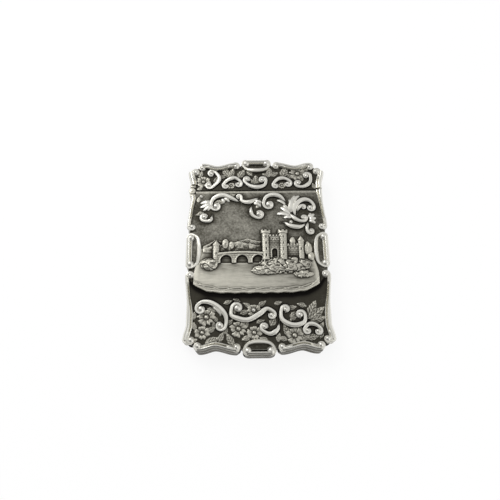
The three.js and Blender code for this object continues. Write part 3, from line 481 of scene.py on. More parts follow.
def reflect_scroll(scroll, sign_x, sign_y):
    """Scroll reflected about the middle of the case."""
    def eye(e):
        return e and (e[0] * sign_x, e[1] * sign_y, e[2] * sign_x * sign_y, e[3])
    start, via, end = scroll
    return eye(start), [(x * sign_x, y * sign_y) for x, y in via], eye(end)


def four_way(rows, turns):
    """Copies of flowers or of leaves, whose angles turn with them, in all four quarters."""
    made = []
    for sx in (1, -1):
        for sy in (1, -1):
            for x, y, size, other, turn in rows:
                turned = turn * sx * sy + (180 if sx < 0 else 0) if turns else turn
                made.append((x * sx, y * sy, size, other, turned))
    return made


# Modelling. Edges under these angles, in degrees, are shaded smooth.

SMOOTH_SHEET = 75
SMOOTH_PICTURE = 80
SMOOTH_STRAP = 50
SMOOTH_SOLID = 40
MERGE = 1e-3
FLAT_WITHIN = 0.01
STRAP_SINK = 0.3
BEAD = 1.0
STRAP_CROWN = [
    (1, 0.35), (0.985, 0.7), (0.94, 0.87), (0.86, 0.95), (0.76, 0.96), (0.68, 0.92), (0.6, 0.8), (0.52, 0.93),
    (0.42, 0.99), (0, 1), (-0.5, 1), (-0.78, 0.985), (-0.88, 0.94), (-0.95, 0.83), (-0.99, 0.62), (-1, 0.3),
]


def alone(obj):
    """Leaves one object selected and active."""
    bpy.ops.object.select_all(action="DESELECT")
    obj.select_set(True)
    bpy.context.view_layer.objects.active = obj
    return obj


def named(obj, name):
    obj.name = obj.data.name = name
    return obj


def applied(obj):
    """Moves an object's place, turn and size into its mesh."""
    alone(obj)
    bpy.ops.object.transform_apply(location=True, rotation=True, scale=True)
    return obj


def primitive(add, name, **settings):
    """Adds a primitive at its size and place."""
    bpy.ops.object.select_all(action="DESELECT")
    add(**settings)
    return applied(named(bpy.context.object, name))


def edit(obj, *steps):
    """Runs steps in edit mode with the whole mesh selected."""
    alone(obj)
    bpy.ops.object.mode_set(mode="EDIT")
    bpy.ops.mesh.select_all(action="SELECT")
    for step in steps:
        step()
    bpy.ops.object.mode_set(mode="OBJECT")
    return obj


def face_outward():
    """Merges doubled points and turns all faces outward."""
    bpy.ops.mesh.remove_doubles(threshold=MERGE)
    bpy.ops.mesh.normals_make_consistent(inside=False)


def softened(obj, width, segments):
    """Rounds the sharp edges of a shape."""
    soft = obj.modifiers.new("soft", "BEVEL")
    soft.width = width
    soft.segments = segments
    soft.limit_method = "ANGLE"
    bpy.ops.object.modifier_apply(modifier=soft.name)
    return edit(obj, face_outward)


def joined(name, objects):
    """Joins meshes into one and names it."""
    first = alone(objects[0])
    for obj in objects:
        obj.select_set(True)
    if len(objects) > 1:
        bpy.ops.object.join()
    return named(first, name)


def flat_curve(name, lines, closed):
    """Flat curve through lines of points, each point with its own share of the full size."""
    curve = bpy.data.curves.new(name, "CURVE")
    curve.dimensions = "2D"
    for points, shares in lines:
        spline = curve.splines.new("POLY")
        spline.points.add(len(points) - 1)
        rows = np.zeros((len(points), 4))
        rows[:, :2] = points
        spline.points.foreach_set("co", rows.ravel())
        spline.points.foreach_set("radius", np.array(shares, float))
        spline.use_cyclic_u = closed
        spline.use_smooth = True
    obj = bpy.data.objects.new(name, curve)
    bpy.context.collection.objects.link(obj)
    return obj


def swept(name, lines, outline):
    """Sweeps an outline, given as distances to the side and heights, along flat lines."""
    section = flat_curve(name + "_section", [(outline, np.ones(len(outline)))], True)
    path = alone(flat_curve(name, lines, False)).data
    path.fill_mode = "NONE"
    path.bevel_mode = "OBJECT"
    path.bevel_object = section
    path.use_fill_caps = True
    bpy.ops.object.convert(target="MESH")
    bpy.data.objects.remove(section)
    return edit(bpy.context.object, face_outward)


def strap_outline(width, rise, sink):
    """Section of a strap: a flat back, soft sides and a broad crown with one line cut along it."""
    crown = [(width / 2 * out, rise * up) for out, up in STRAP_CROWN]
    return [(width / 2, -sink)] + crown + [(-width / 2, -sink)]


def ball(x, y, z, radius, half):
    """Ball or flattened ball."""
    return primitive(bpy.ops.mesh.primitive_uv_sphere_add, "ball", segments=24, ring_count=12, radius=1,
                     location=(x, y, z), scale=(radius, radius, half))


def reflected(obj, name, signs):
    """Copy of a shape reflected about the middle of the case, with a mesh of its own."""
    copy = obj.copy()
    copy.data = obj.data.copy()
    bpy.context.collection.objects.link(named(copy, name))
    middle = Vector((0, 0, SIZES.middle))
    copy.data.transform(Matrix.Translation(middle) @ Matrix.Diagonal((*signs, 1)) @ Matrix.Translation(-middle))
    if signs[0] * signs[1] * signs[2] < 0:
        copy.data.flip_normals()
    return copy


def turned_over(obj, name):
    """Moves a shape from the front to the same place on the back."""
    copy = reflected(obj, name, (1, 1, -1))
    bpy.data.objects.remove(obj)
    return copy


def piece(obj, body, nodes=(), degrees=SMOOTH_STRAP, material=None):
    """Turns a shape modelled in millimetres into a finished piece that rides a body."""
    applied(obj)
    obj.data.transform(Matrix.Scale(MM, 4))
    bpy.ops.object.shade_smooth_by_angle(angle=math.radians(degrees))
    if material:
        obj.data.materials.clear()
        obj.data.materials.append(material)
    if not obj.data.materials:
        raise RuntimeError(obj.name + " has no material")
    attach(obj, body)
    if nodes:
        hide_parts(*nodes)
    return obj


def line_inside(obj, height):
    """Gives the flat inner side of a sheet the finish of the plain silver."""
    obj.data.materials.append(plain_silver())
    for polygon in obj.data.polygons:
        if abs(polygon.center.z - height * MM) < FLAT_WITHIN * MM:
            polygon.material_index = 1


# Shaders

# Darkness past 1, up to this, turns the silver black: painted shadow and the deepest grooves.
DEEPEST = 1.6


class Value:
    """One output of a shader tree. Sums on it add nodes to the tree."""

    def __init__(self, shader, socket):
        self.shader = shader
        self.socket = socket

    def sum(self, operation, first, second):
        return self.shader.node("ShaderNodeMath", {"operation": operation}, {0: first, 1: second})

    def __add__(self, other):
        return self.sum("ADD", self, other)

    def __radd__(self, other):
        return self.sum("ADD", other, self)

    def __sub__(self, other):
        return self.sum("SUBTRACT", self, other)

    def __rsub__(self, other):
        return self.sum("SUBTRACT", other, self)

    def __mul__(self, other):
        return self.sum("MULTIPLY", self, other)

    def __rmul__(self, other):
        return self.sum("MULTIPLY", other, self)

    def __abs__(self):
        return self.shader.node("ShaderNodeMath", {"operation": "ABSOLUTE"}, {0: self})

    def rising(self, low, high):
        """Smooth step from 0 at low to 1 at high."""
        settings = {"interpolation_type": "SMOOTHSTEP"}
        return self.shader.node("ShaderNodeMapRange", settings, {"Value": self, "From Min": low, "From Max": high})


class Shader:
    """Node tree of a material or world."""

    def __init__(self, owner):
        owner.use_nodes = True
        self.owner = owner
        self.tree = owner.node_tree
        self.tree.nodes.clear()

    def node(self, kind, settings=None, inputs=None, output=0):
        """Adds a node, with its settings and its inputs' values or links, and gives one of its outputs."""
        node = self.tree.nodes.new(kind)
        for name, value in (settings or {}).items():
            setattr(node, name, value)
        for key, value in (inputs or {}).items():
            if isinstance(value, Value):
                self.tree.links.new(value.socket, node.inputs[key])
            else:
                node.inputs[key].default_value = value
        return Value(self, node.outputs[output]) if node.outputs else None

    def mixed(self, factor, first, second):
        """Mix of two colours."""
        return self.node("ShaderNodeMix", {"data_type": "RGBA"}, {0: factor, 6: first, 7: second}, 2)

    def blended(self, factor, first, second):
        """Mix of two surfaces or lights."""
        return self.node("ShaderNodeMixShader", None, {0: factor, 1: first, 2: second})

    def place(self):
        """Object coordinates in millimetres."""
        coordinates = self.node("ShaderNodeTexCoord", output="Object")
        return self.node("ShaderNodeVectorMath", {"operation": "SCALE"}, {0: coordinates, "Scale": 1 / MM})

    def axis(self, vector, index):
        """One coordinate of a place or direction."""
        return self.node("ShaderNodeSeparateXYZ", None, {0: vector}, index)

    def attribute(self, name):
        return self.node("ShaderNodeAttribute", {"attribute_name": name}, None, "Fac")

    def grain(self, place, scale, detail=3.0):
        """Noise about a mean of 0.5."""
        return self.node("ShaderNodeTexNoise", None, {"Vector": place, "Scale": scale, "Detail": detail})

    def bump(self, height, strength, distance):
        inputs = {"Strength": strength, "Distance": distance * MM, "Height": height}
        return self.node("ShaderNodeBump", None, inputs)

    def silver(self, colour, roughness, normal):
        """Ends the tree in a metal surface."""
        inputs = {"Base Color": colour, "Roughness": roughness, "Metallic": 1.0, "Normal": normal}
        surface = self.node("ShaderNodeBsdfPrincipled", None, inputs)
        self.node("ShaderNodeOutputMaterial", None, {"Surface": surface})
        return self.owner


def finish(make):
    """Makes the material that a function is named after at its first use, and gives the same one after that."""
    def given():
        name = make.__name__
        made = bpy.data.materials.get(name)
        return made or make(Shader(bpy.data.materials.new(name)), bpy.context.scene.card_case_finish)
    return given


@finish
def stamped_silver(s, f):
    """Stamped sheet: bright where rubbed, dark and punched in the ground, black in painted shadow."""
    place = s.place()
    patina_and_shade = s.attribute("patina_and_shade")
    matting = s.attribute("matting")
    cloud = s.grain(place, scale=0.35)
    speck = s.grain(place, scale=5.0, detail=2.0)
    mottle = s.grain(place, scale=1.1)
    punch = s.node("ShaderNodeTexVoronoi", {"feature": "F1"}, {"Vector": place, "Scale": 3.4}, "Distance")
    stain = (cloud - 0.5) * 0.3 + (mottle - 0.5) * 0.5 + (speck - 0.5) * 0.22
    dark = (patina_and_shade + stain + punch * matting * 0.1).rising(0.02, 1.0)
    ground = s.mixed(dark, f.worn, f.oxide)
    # Black where painted shadow is deepest, under the terrace's lip and in the lid's seam, and in the deepest
    # grooves.
    tint = s.mixed(patina_and_shade.rising(1.0, DEEPEST), ground, f.oxide_and_shadow_black)
    roughness = f.polish + 0.1 + dark * (f.matt - f.polish - 0.1) + (speck - 0.5) * 0.12
    relief = punch * matting * 1.4 + speck * (matting * 0.4 + 0.25)
    return s.silver(tint, roughness, s.bump(relief, strength=0.5, distance=0.08))


@finish
def picture_silver(s, f):
    """Silver of the picture: pale and satin, with dark grooves."""
    place = s.place()
    patina_and_shade = s.attribute("patina_and_shade")
    cloud = s.grain(place, scale=0.4)
    speck = s.grain(place, scale=6.0, detail=2.0)
    dark = (patina_and_shade + (cloud - 0.5) * 0.22 + (speck - 0.5) * 0.2).rising(0.0, 1.0)
    shaded = s.mixed(dark, f.worn, f.oxide)
    # Black in the deepest grooves and in the painted shade of wide dips.
    tint = s.mixed(patina_and_shade.rising(0.95, DEEPEST), shaded, f.oxide_and_shadow_black)
    roughness = f.polish + 0.12 + dark * 0.2 + (speck - 0.5) * 0.1
    return s.silver(tint, roughness, s.bump(speck, strength=0.35, distance=0.06))


@finish
def scroll_silver(s, f):
    """Silver of the straps: bright on top and dark down their sides."""
    place = s.place()
    lift = abs(s.axis(place, 2) - SIZES.middle) - (SIZES.face - SIZES.middle)
    speck = s.grain(place, scale=3.0)
    wear = s.grain(place, scale=0.5, detail=2.0)
    sides = (1.0 - (lift + (speck - 0.5) * 0.25).rising(0.15, 0.58)) * lift.rising(-0.7, -0.1)
    dark = (sides + (wear - 0.55) * 0.35 + (speck - 0.55) * 0.15).rising(0.05, 1.0)
    tint = s.mixed(dark, f.bright, f.oxide)
    roughness = f.polish + 0.07 + dark * 0.2 + (speck - 0.5) * 0.14
    return s.silver(tint, roughness, s.bump(speck, strength=0.3, distance=0.05))


@finish
def border_silver(s, f):
    """Polished silver of the rolls, darker down their flanks, with a painted dark reflection on the rolls of the
    bottom end.
    """
    place = s.place()
    speck = s.grain(place, scale=2.5)
    wear = s.grain(place, scale=0.4, detail=2.0)
    lift = abs(s.axis(place, 2) - SIZES.middle) + (wear - 0.5) * 0.8
    flanks = (1.0 - lift.rising(3.6, 5.1)) * 0.48
    # Painted dark reflection on the rolls of the bottom end, darker and higher up their sides than on the flanks
    # elsewhere.
    lower = (1.0 - lift.rising(4.6, 5.65)) * 0.8
    bottom_dark_reflection = (0.0 - s.axis(place, 1)).rising(44.5, 46.5)
    darkening = flanks + (lower - flanks) * bottom_dark_reflection
    dark = (darkening + (wear - 0.5) * 0.3 + (speck - 0.55) * 0.2).rising(0.05, 0.95)
    tint = s.mixed(dark, f.bright, f.oxide)
    roughness = f.polish - 0.04 + dark * 0.06 + (speck - 0.5) * 0.1
    return s.silver(tint, roughness, s.bump(speck, strength=0.25, distance=0.04))


def scratched(s, f, darkening):
    """Plain silver with fine scratches and a share of tarnish."""
    place = s.place()
    stretched = s.node("ShaderNodeVectorMath", {"operation": "MULTIPLY"}, {0: place, 1: (6.0, 6.0, 0.4)})
    scratch = s.grain(stretched, scale=1.0)
    cloud = s.grain(place, scale=0.3)
    dark = ((cloud - 0.4) * 0.9 + (scratch - 0.5) * 0.3 + darkening).rising(0.0, 1.0)
    tint = s.mixed(dark, f.worn, f.oxide)
    roughness = f.polish + 0.1 + (scratch - 0.5) * 0.2
    return s.silver(tint, roughness, s.bump(scratch, strength=0.25, distance=0.03))


@finish
def plain_silver(s, f):
    """Silver of the linings and the hinge."""
    return scratched(s, f, darkening=0.0)


@finish
def edge_silver(s, f):
    """Silver of the edge strips, which are out of reach of rubbing."""
    return scratched(s, f, darkening=0.5)


# Stamped sheets

STRAP_SHADE = 3.0
RESERVE_X, RESERVE_Y, RESERVE_LOBE = 14, 19, 0.8
FRONT_SEAM = 32
BACK_GAP = (30, 33)


def flower_height(x, y, flower, rise):
    """Broad notched petals with raised edges, which meet at clefts, round a button."""
    at_x, at_y, size, petals, turn = flower
    away = np.hypot(x - at_x, y - at_y) / size
    bearing = np.arctan2(y - at_y, x - at_x) - turn
    half = math.pi / petals
    petal = np.floor(bearing / (2 * half) + 0.5)
    off = bearing - petal * 2 * half
    ruffle = 0.05 * np.sin(off * 13 + petal * 2.1)
    reach = 0.8 + 0.24 * np.cos(off / half * math.pi / 2) ** 0.6 - 0.16 * spread(off, 0.15) + ruffle
    out = away / (reach * (1 - 0.14 * (petal % 2)))
    body = np.clip(1 - out ** 8, 0, 1) ** 0.5 * (0.42 + 0.58 * out ** 1.6)
    cleft = 1 - 0.7 * spread(away * np.sin(half - np.abs(off)), 0.045) * smooth((out - 0.35) / 0.3)
    crease = 1 - 0.2 * spread(away * np.sin(off), 0.05) * (out < 0.8)
    ring = 1 - 0.45 * spread(away - 0.31, 0.05)
    button = 0.95 * dome(away / 0.25)
    return rise * np.maximum(body * cleft * crease * ring, button)


def leaf_height(x, y, leaf, rise):
    """Pointed leaf with a toothed raised edge, a midrib and side veins."""
    at_x, at_y, long, wide, degrees = leaf
    turn = math.radians(degrees)
    along = ((x - at_x) * math.cos(turn) + (y - at_y) * math.sin(turn)) / (long * 0.62)
    across = (-(x - at_x) * math.sin(turn) + (y - at_y) * math.cos(turn)) / (wide * 0.62)
    teeth = 1 + 0.16 * np.abs(np.sin(along * 7))
    half = np.clip(1 - along ** 2, 0, 1) * (1 - 0.35 * along) * teeth
    side = np.abs(across) / np.maximum(half, 1e-3)
    body = np.clip(1 - side ** 4, 0, 1) ** 0.5 * (0.62 + 0.38 * side ** 2) * (half > 0.04)
    rib = 0.35 * spread(across, 0.12)
    veins = 0.14 * np.sin((along - np.abs(across) * 0.5) * 16)
    return rise * np.where(body > 0.05, body + rib * (half > 0.2) + veins * (side < 0.8), body)


def line_distance(x, y, lines, reach, width):
    """Distance from points to the edges of straps, up to a reach."""
    far = np.full(x.shape, reach, float)
    for points, shares in lines:
        low, high = points.min(0) - reach - width, points.max(0) + reach + width
        near = np.nonzero((x > low[0]) & (x < high[0]) & (y > low[1]) & (y < high[1]))[0]
        if len(near):
            gap = np.hypot(x[near, None] - points[None, :, 0], y[near, None] - points[None, :, 1])
            far[near] = np.minimum(far[near], (gap - shares[None, :] * width / 2).min(1))
    return far


def grid_sheet(name, half, low, high, cell, mapped):
    """Fine grid with its points mapped to the page. Gives the object, x, y and the grid's shape."""
    obj = primitive(bpy.ops.mesh.primitive_grid_add, name, x_subdivisions=int(2 * half / cell),
                    y_subdivisions=int((high - low) / cell), size=2)
    co = np.empty(len(obj.data.vertices) * 3)
    obj.data.vertices.foreach_get("co", co)
    u, v = co[0::3], co[1::3]
    wide = len(np.unique(np.round(u, 5)))
    return obj, *mapped(u, v), (len(u) // wide, wide)


def set_field(obj, name, values):
    """Stores one number for each point of a mesh."""
    layer = obj.data.attributes.new(name, "FLOAT", "POINT")
    layer.data.foreach_set("value", np.ascontiguousarray(values, dtype=np.float32))


def raise_sheet(obj, x, y, z, patina_and_shade):
    """Moves the points of a sheet to their places and stores how dark each is."""
    obj.data.vertices.foreach_set("co", np.column_stack([x, y, z]).ravel())
    obj.data.update()
    # The stored darkness is real oxide and also painted shade: the shadow under the terrace's lip, the seam's
    # shadow, shade round the straps and in wide dips.
    set_field(obj, "patina_and_shade", np.clip(patina_and_shade, 0, DEEPEST))


def close_under(bottom):
    """Step that runs the open edge of a sheet down to one height and closes it there."""
    def step():
        bpy.ops.mesh.select_mode(type="EDGE")
        bpy.ops.mesh.select_all(action="DESELECT")
        bpy.ops.mesh.select_non_manifold(
            extend=False, use_wire=False, use_boundary=True, use_multi_face=False, use_non_contiguous=False,
            use_verts=False)
        bpy.ops.mesh.extrude_edges_move(TRANSFORM_OT_translate={"value": (0, 0, -1)})
        bpy.ops.transform.resize(value=(1, 1, 0), center_override=(0, 0, bottom))
        bpy.ops.mesh.edge_face_add()
        bpy.ops.mesh.select_all(action="SELECT")
        bpy.ops.mesh.normals_make_consistent(inside=False)
    return step


def reserve_height(x, y):
    """Plain raised reserve of the back, a lobed oval with a moulded edge."""
    lobe = RESERVE_LOBE * np.cos(4 * np.arctan2(y / RESERVE_Y, x / RESERVE_X))
    inside = (1 - np.hypot(x / (RESERVE_X + lobe), y / (RESERVE_Y + lobe))) * 15
    steps = 0.62 * smooth(inside / 0.7) + 0.1 * dome((inside - 1.6) / 0.6) + 0.38 * smooth((inside - 2.4) / 0.8)
    return SIZES.deep * steps


def sheet(name, is_lid, flowers, leaves, scrolls, form, pressed, tone):
    """Stamped sheet of the body or the lid, with its relief and the numbers that its silver reads.

    The form stands on the sheet, and is pressed in it or soldered over it.
    """
    rim, relief = rim_sizes(), relief_sizes()
    low = SIZES.lid_mouth if is_lid else -rim.end
    high = rim.end if is_lid else SIZES.body_mouth

    def mapped(u, v):
        x, y = u * rim.hip, low + (high - low) * (v + 1) / 2
        for _ in range(4):
            x = u * (side_at(y) + slim_at(y))
            first = np.full_like(x, low) if is_lid else -end_at(x)
            last = end_at(x) if is_lid else np.full_like(x, high)
            y = first + (last - first) * (v + 1) / 2
        return x, y

    obj, x, y, shape = grid_sheet(name, rim.hip, low, high, relief.cell, mapped)
    height = np.zeros_like(x)
    for flower in flowers:
        height = np.maximum(height, flower_height(x, y, flower, relief.flower))
    for leaf in leaves:
        height = np.maximum(height, leaf_height(x, y, leaf, relief.leaf))
    gap = line_distance(x, y, [strap_line(s) for s in scrolls], STRAP_SHADE, relief.strap)
    stood = form(x, y)
    whole = np.maximum(np.maximum(height, stood), np.where(gap < 0, relief.strap_rise, 0)).reshape(shape)
    cavity = sunk(whole, relief.cell, (0.3, 2.4), (1.6, 0.8))
    # Painted shade on the ground round the straps, fading over 0.7 mm.
    painted_strap_shade = np.exp(-np.clip(gap, 0, None) / 0.7)
    ground = tone(x, y)
    worn = smooth((height / relief.leaf - 0.25) / 0.8)
    patina_and_shade = ground * (1 - 0.56 * worn) + 0.85 * cavity + 0.3 * painted_strap_shade * (1 - 0.6 * worn)
    # The lid's lower edge is painted black as the shadow in the seam; the body's sheet turns paler along its
    # mouth.
    if is_lid:
        patina_and_shade = np.where(y < low + 0.3, DEEPEST, patina_and_shade)
    else:
        patina_and_shade = patina_and_shade + (0.3 - patina_and_shade) * 0.75 * smooth((1.3 - np.abs(y - high)) / 0.4)
    waves = 0.03 * rough(x, y, 3.0, relief.seed)
    top = np.where(stood > 0.05, stood, 0) if pressed else 0
    raise_sheet(obj, x, y, SIZES.face + np.maximum(np.maximum(height, top), waves), patina_and_shade)
    set_field(obj, "matting", np.clip(np.clip(ground, 0, 1) * 1.4 - 0.4, 0, 1) * (1 - worn))
    return edit(obj, close_under(SIZES.inner))


def front_tone(x, y):
    """How dark the front's ground is: dark below the picture, paler in its sky, with a painted shadow under the
    terrace's lip.
    """
    sky = smooth((y + 21) / 16)
    beside = smooth((np.abs(x) - 20) / 10) * smooth((30 - y) / 8)
    scrolled = smooth((y - 14) / 10)
    cloud = 0.08 * rough(x, y * 1.6, 6.0, 21)
    # Painted shadow under the terrace's lip, darkest just below it and fading over 2.4 mm.
    under = lip_line(x) - y
    shade = np.exp(-np.clip(under, 0, None) / 2.4) * smooth((under + 0.6) / 0.6)
    return 0.87 - sky * (0.26 - 0.14 * beside - 0.07 * scrolled) + cloud * sky + 1.1 * shade


def dark_tone(x, y):
    return 0.86 + 0.06 * rough(x, y, 5.0, 33)


def back_tone(x, y):
    return 0.85 - 0.67 * smooth((reserve_height(x, y) - 0.8) / 0.5)


def picture_form(x, y):
    return np.clip(picture_height(x, y), 0, None)


def no_form(x, y):
    return np.zeros_like(x)


# Picture. Walls: left, right, foot, top and rise. Towers and turrets: x, foot, top and radius. Trees, mounds and
# bushes: x, y, half width, half height and rise. Hills: x and y of their crests.

WALLS = [(13, 21, -4, 2.4, 0.72), (4.4, 12, -4, 7.2, 0.92)]
TURRETS = [(21, -4.6, 4.6, 1.5), (-20, -6.6, 2.6, 1.7)]
TOWERS = [(4, -5, 9, 1.95), (12.4, -5, 9, 1.95)]
TREES = [
    (24.4, 0.6, 1.9, 3.4, 1.05), (17, 4.4, 1.5, 2.4, 0.85), (-15.6, 3.4, 1.6, 2.6, 0.85),
    (-12.6, 2.6, 1.3, 2, 0.75), (25.6, -3.4, 1.6, 2.2, 1.1),
]
MOUNDS = [
    (13, -8.0, 13, 4.8, 1.6), (3.4, -10.2, 8.5, 3.0, 1.6), (-23, -7.4, 4.8, 3.4, 1.5),
    (21.5, -12.4, 5.6, 2.4, 1.64),
]
BUSHES = [
    (-21.5, -5.6, 1.5, 1.0, 1.4), (6.5, -7.2, 1.6, 0.9, 1.5), (17.5, -4.8, 1.8, 1.0, 1.45),
    (10.5, -9.9, 1.5, 0.8, 1.5),
]
FAR_HILLS = [(-26.4, 2.3), (-20, 5.6), (-13, 3.4), (-5, 6.4), (3, 4), (12, 6.6), (20, 4.4), (26.4, 2.3)]
NEAR_HILLS = [(-26.4, 1.4), (-16, 3.2), (-9, 4.6), (0, 2.6), (8, 3.4), (17, 4.8), (26.4, 1.6)]
HILLS_HALF = 26.4
BRIDGE_LEFT, BRIDGE_RIGHT, BRIDGE_FOOT, BRIDGE_ARCHES = -19, 4, -6.4, 3
COURSE = 0.95
BLOCK = 1.5
TOOTH = 1.5
BATTLEMENT = 0.75
CONE = 2.7
PICTURE_TOP = 11.2


def stone(x, y):
    """Joints between courses of stone, 1 in a joint."""
    row = np.floor(y / COURSE)
    bed = np.abs(y / COURSE - row - 0.5) > 0.41
    along = x / BLOCK + 0.5 * (row % 2)
    return (bed | (np.abs(along - np.floor(along) - 0.5) > 0.44)) * 1.0


def lip_line(x):
    """Front edge of the terrace: scalloped, and drawn back at its corners."""
    relief = relief_sizes()
    across = np.abs(x - relief.terrace_x) / relief.terrace
    return relief.lip_y + 4.6 * across ** 6 + 0.14 * np.cos(across * 9 * math.pi)


def over(height, inside, value):
    """Raises a field to a value inside a shape."""
    return np.where(inside, np.maximum(height, value), height)


def opening(height, x, y, at_x, at_y, half_x, half_y, deep, inside=True):
    """Sinks a slit or a window."""
    return np.where((np.abs(x - at_x) < half_x) & (np.abs(y - at_y) < half_y) & inside, height - deep, height)


def tower(height, x, y, at, foot, top, radius):
    """Round battlemented tower with slits."""
    across = (x - at) / radius
    flare = 1 + 0.1 * smooth((foot + 2 - y) / 2)
    body = 0.5 + 0.8 * dome(across / flare) - 0.07 * stone(x, y)
    height = over(height, (np.abs(across) < flare) & (y > foot) & (y < top), body)
    wide = across / 1.24
    sill = top + BATTLEMENT
    height = over(height, (np.abs(wide) < 1) & (y > top - 0.3) & (y < sill), 0.66 + 0.84 * dome(wide))
    teeth = (np.cos(wide * 2.5 * math.pi) > -0.25) & (y >= sill) & (y < top + 2 * BATTLEMENT)
    height = over(height, (np.abs(wide) < 1) & teeth, 0.6 + 0.8 * dome(wide))
    for step in np.arange(foot + 2.4, top - 1.6, 3.1):
        height = opening(height, x, y, at + 0.1, step, 0.24, 0.62, 0.45)
    return height


def turret(height, x, y, at, foot, top, radius):
    """Small round turret with a tiled cone on it."""
    across = (x - at) / radius
    body = 0.4 + 0.65 * dome(across) - 0.06 * stone(x, y)
    height = over(height, (np.abs(across) < 1) & (y > foot) & (y < top), body)
    cone = across / (1.35 * np.clip((top + CONE - y) / CONE, 1e-3, 1))
    tiles = 0.05 * (np.sin(y * 9) > 0.3)
    height = over(height, (np.abs(cone) < 1) & (y >= top) & (y < top + CONE), 0.45 + 0.7 * dome(cone) - tiles)
    return opening(height, x, y, at, (foot + top) / 2 + 0.4, 0.22, 0.55, 0.4)


def wall(height, x, y, left, right, foot, top, rise):
    """Battlemented wall with small windows."""
    along = (x - left) / TOOTH
    crown = top + 0.7 * ((along - np.floor(along)) < 0.55)
    inside = (x > left) & (x < right) & (y > foot) & (y < crown)
    height = over(height, inside, rise + 0.12 * (y > top - 0.35) - 0.06 * stone(x, y))
    for at in np.arange(left + 1.2, right - 0.6, 1.9):
        height = opening(height, x, y, at, top - 1.5, 0.26, 0.42, 0.4, inside)
    return height


def gate(height, x, y):
    """Arched gateway with a moulded ring."""
    door = np.hypot(x - 8.2, np.clip(y + 0.6, 0, None)) / 1.3
    height = over(height, (door < 1.25) & (y > -4), 1.1)
    return np.where((door < 1) & (y > -4), 0.55, height)


def bridge(height, x, y):
    """Humped bridge of arches with a parapet."""
    middle, half = (BRIDGE_LEFT + BRIDGE_RIGHT) / 2, (BRIDGE_RIGHT - BRIDGE_LEFT) / 2
    deck = -1.6 + 0.8 * (1 - ((x - middle) / half) ** 2)
    inside = (x > BRIDGE_LEFT) & (x < BRIDGE_RIGHT) & (y > BRIDGE_FOOT) & (y < deck + 0.35)
    parapet = 0.14 * (y > deck - 0.7)
    height = over(height, inside, 0.98 + parapet - 0.06 * stone(x, y))
    span = (BRIDGE_RIGHT - BRIDGE_LEFT) / BRIDGE_ARCHES
    for i in range(BRIDGE_ARCHES):
        at = BRIDGE_LEFT + span * (i + 0.5)
        away = np.hypot(x - at, np.clip(y + 5.2, 0, None)) / (span * 0.36)
        height = over(height, inside & (away > 1) & (away < 1.16), 1.12)
        height = np.where(inside & (away < 1), 0.5 + 0.03 * np.sin(y * 8), height)
    return height


def mound(height, x, y, at_x, at_y, half_x, half_y, rise, seed):
    """Rocky mound, ridged and cleft."""
    warp = 0.35 * rough(x, y, 2.6, seed)
    away = np.hypot((x - at_x) / half_x, (y - at_y) / half_y) + 0.12 * rough(x, y, 3.0, seed + 9)
    ridge = 1 - np.abs(rough(x + warp * 2, y * 1.5, 2.4, seed + 3))
    cleft = np.abs(noise(x / 3.4 + y / 4.6, y / 3.0 - x / 9.0, seed + 5))
    body = rise * dome(away) ** 0.7 - 0.42 * (1 - ridge) ** 0.8 - 0.25 * spread(cleft, 0.09)
    return over(height, away < 1, np.maximum(body, 0.75))


def tree(height, x, y, at_x, at_y, half_x, half_y, rise, seed):
    """Clump of leaves."""
    lumps = rough(x, y, 1.1, seed)
    away = np.hypot((x - at_x) / half_x, (y - at_y) / half_y) + 0.22 * lumps
    return over(height, away < 1, rise * (0.55 + 0.45 * dome(away)) + 0.22 * lumps)


def hills(height, x, y, seed):
    """Two rows of hills, the far one hatched."""
    hatch = 0.03 * np.sin((x * 0.8 + y) * 7)
    rows = [
        (FAR_HILLS, 0.34 + 0.12 * rough(x, y, 2.0, seed + 40) + hatch, 0.4 * rough(x, y, 2.0, seed + 41)),
        (NEAR_HILLS, 0.52 + 0.16 * rough(x, y, 1.5, seed + 42), 0.3 * rough(x, y, 1.2, seed + 43)),
    ]
    for crests, rise, ragged in rows:
        crest = np.interp(x, *zip(*crests)) + ragged
        height = over(height, (np.abs(x) < HILLS_HALF) & (y > -1) & (y < crest), rise)
    return height


def terrace(height, x, y, relief):
    """Ground of the picture, which rises to a rolled lip with festoons behind it."""
    lip = lip_line(x)
    edge = relief.terrace - 3 * smooth((y + 13) / 14)
    slope = (relief.horizon_y - y) / (relief.horizon_y - relief.lip_y)
    ground = relief.horizon_rise + (relief.lip_rise - relief.horizon_rise) * slope
    ripple = 0.03 * rough(x * 0.3, y * 1.6, 1.6, relief.seed + 60) * smooth((-4 - y) / 3)
    rolled = 0.2 * dome((y - lip - 0.45) / 0.45)
    swag = 0.75 * np.sin(x / relief.terrace * 4.5 * math.pi)
    chain = np.minimum(np.abs(y - lip - 1.9 - swag), np.abs(y - lip - 1.9 + 0.8 * swag) * 1.5)
    inside = (y > lip) & (y < relief.horizon_y) & (np.abs(x - relief.terrace_x) < edge)
    return over(height, inside, ground + ripple + rolled + 0.22 * spread(chain, 0.28))


def picture_height(x, y):
    """Height of the picture above the sheet, below zero where the sheet shows."""
    relief = relief_sizes()
    height = hills(np.full(x.shape, -0.3), x, y, relief.seed)
    height = terrace(height, x, y, relief)
    for place in WALLS:
        height = wall(height, x, y, *place)
    height = bridge(gate(height, x, y), x, y)
    for build, places in [(turret, TURRETS), (tower, TOWERS)]:
        for place in places:
            height = build(height, x, y, *place)
    for grow, places, first, step in [(tree, TREES, 70, 1), (mound, MOUNDS, 80, 20), (tree, BUSHES, 150, 1)]:
        for i, place in enumerate(places):
            height = grow(height, x, y, *place, relief.seed + first + step * i)
    return np.minimum(height, SIZES.deep - 0.03)


# Border. Each mount: place, type, signs of x and y, and body.

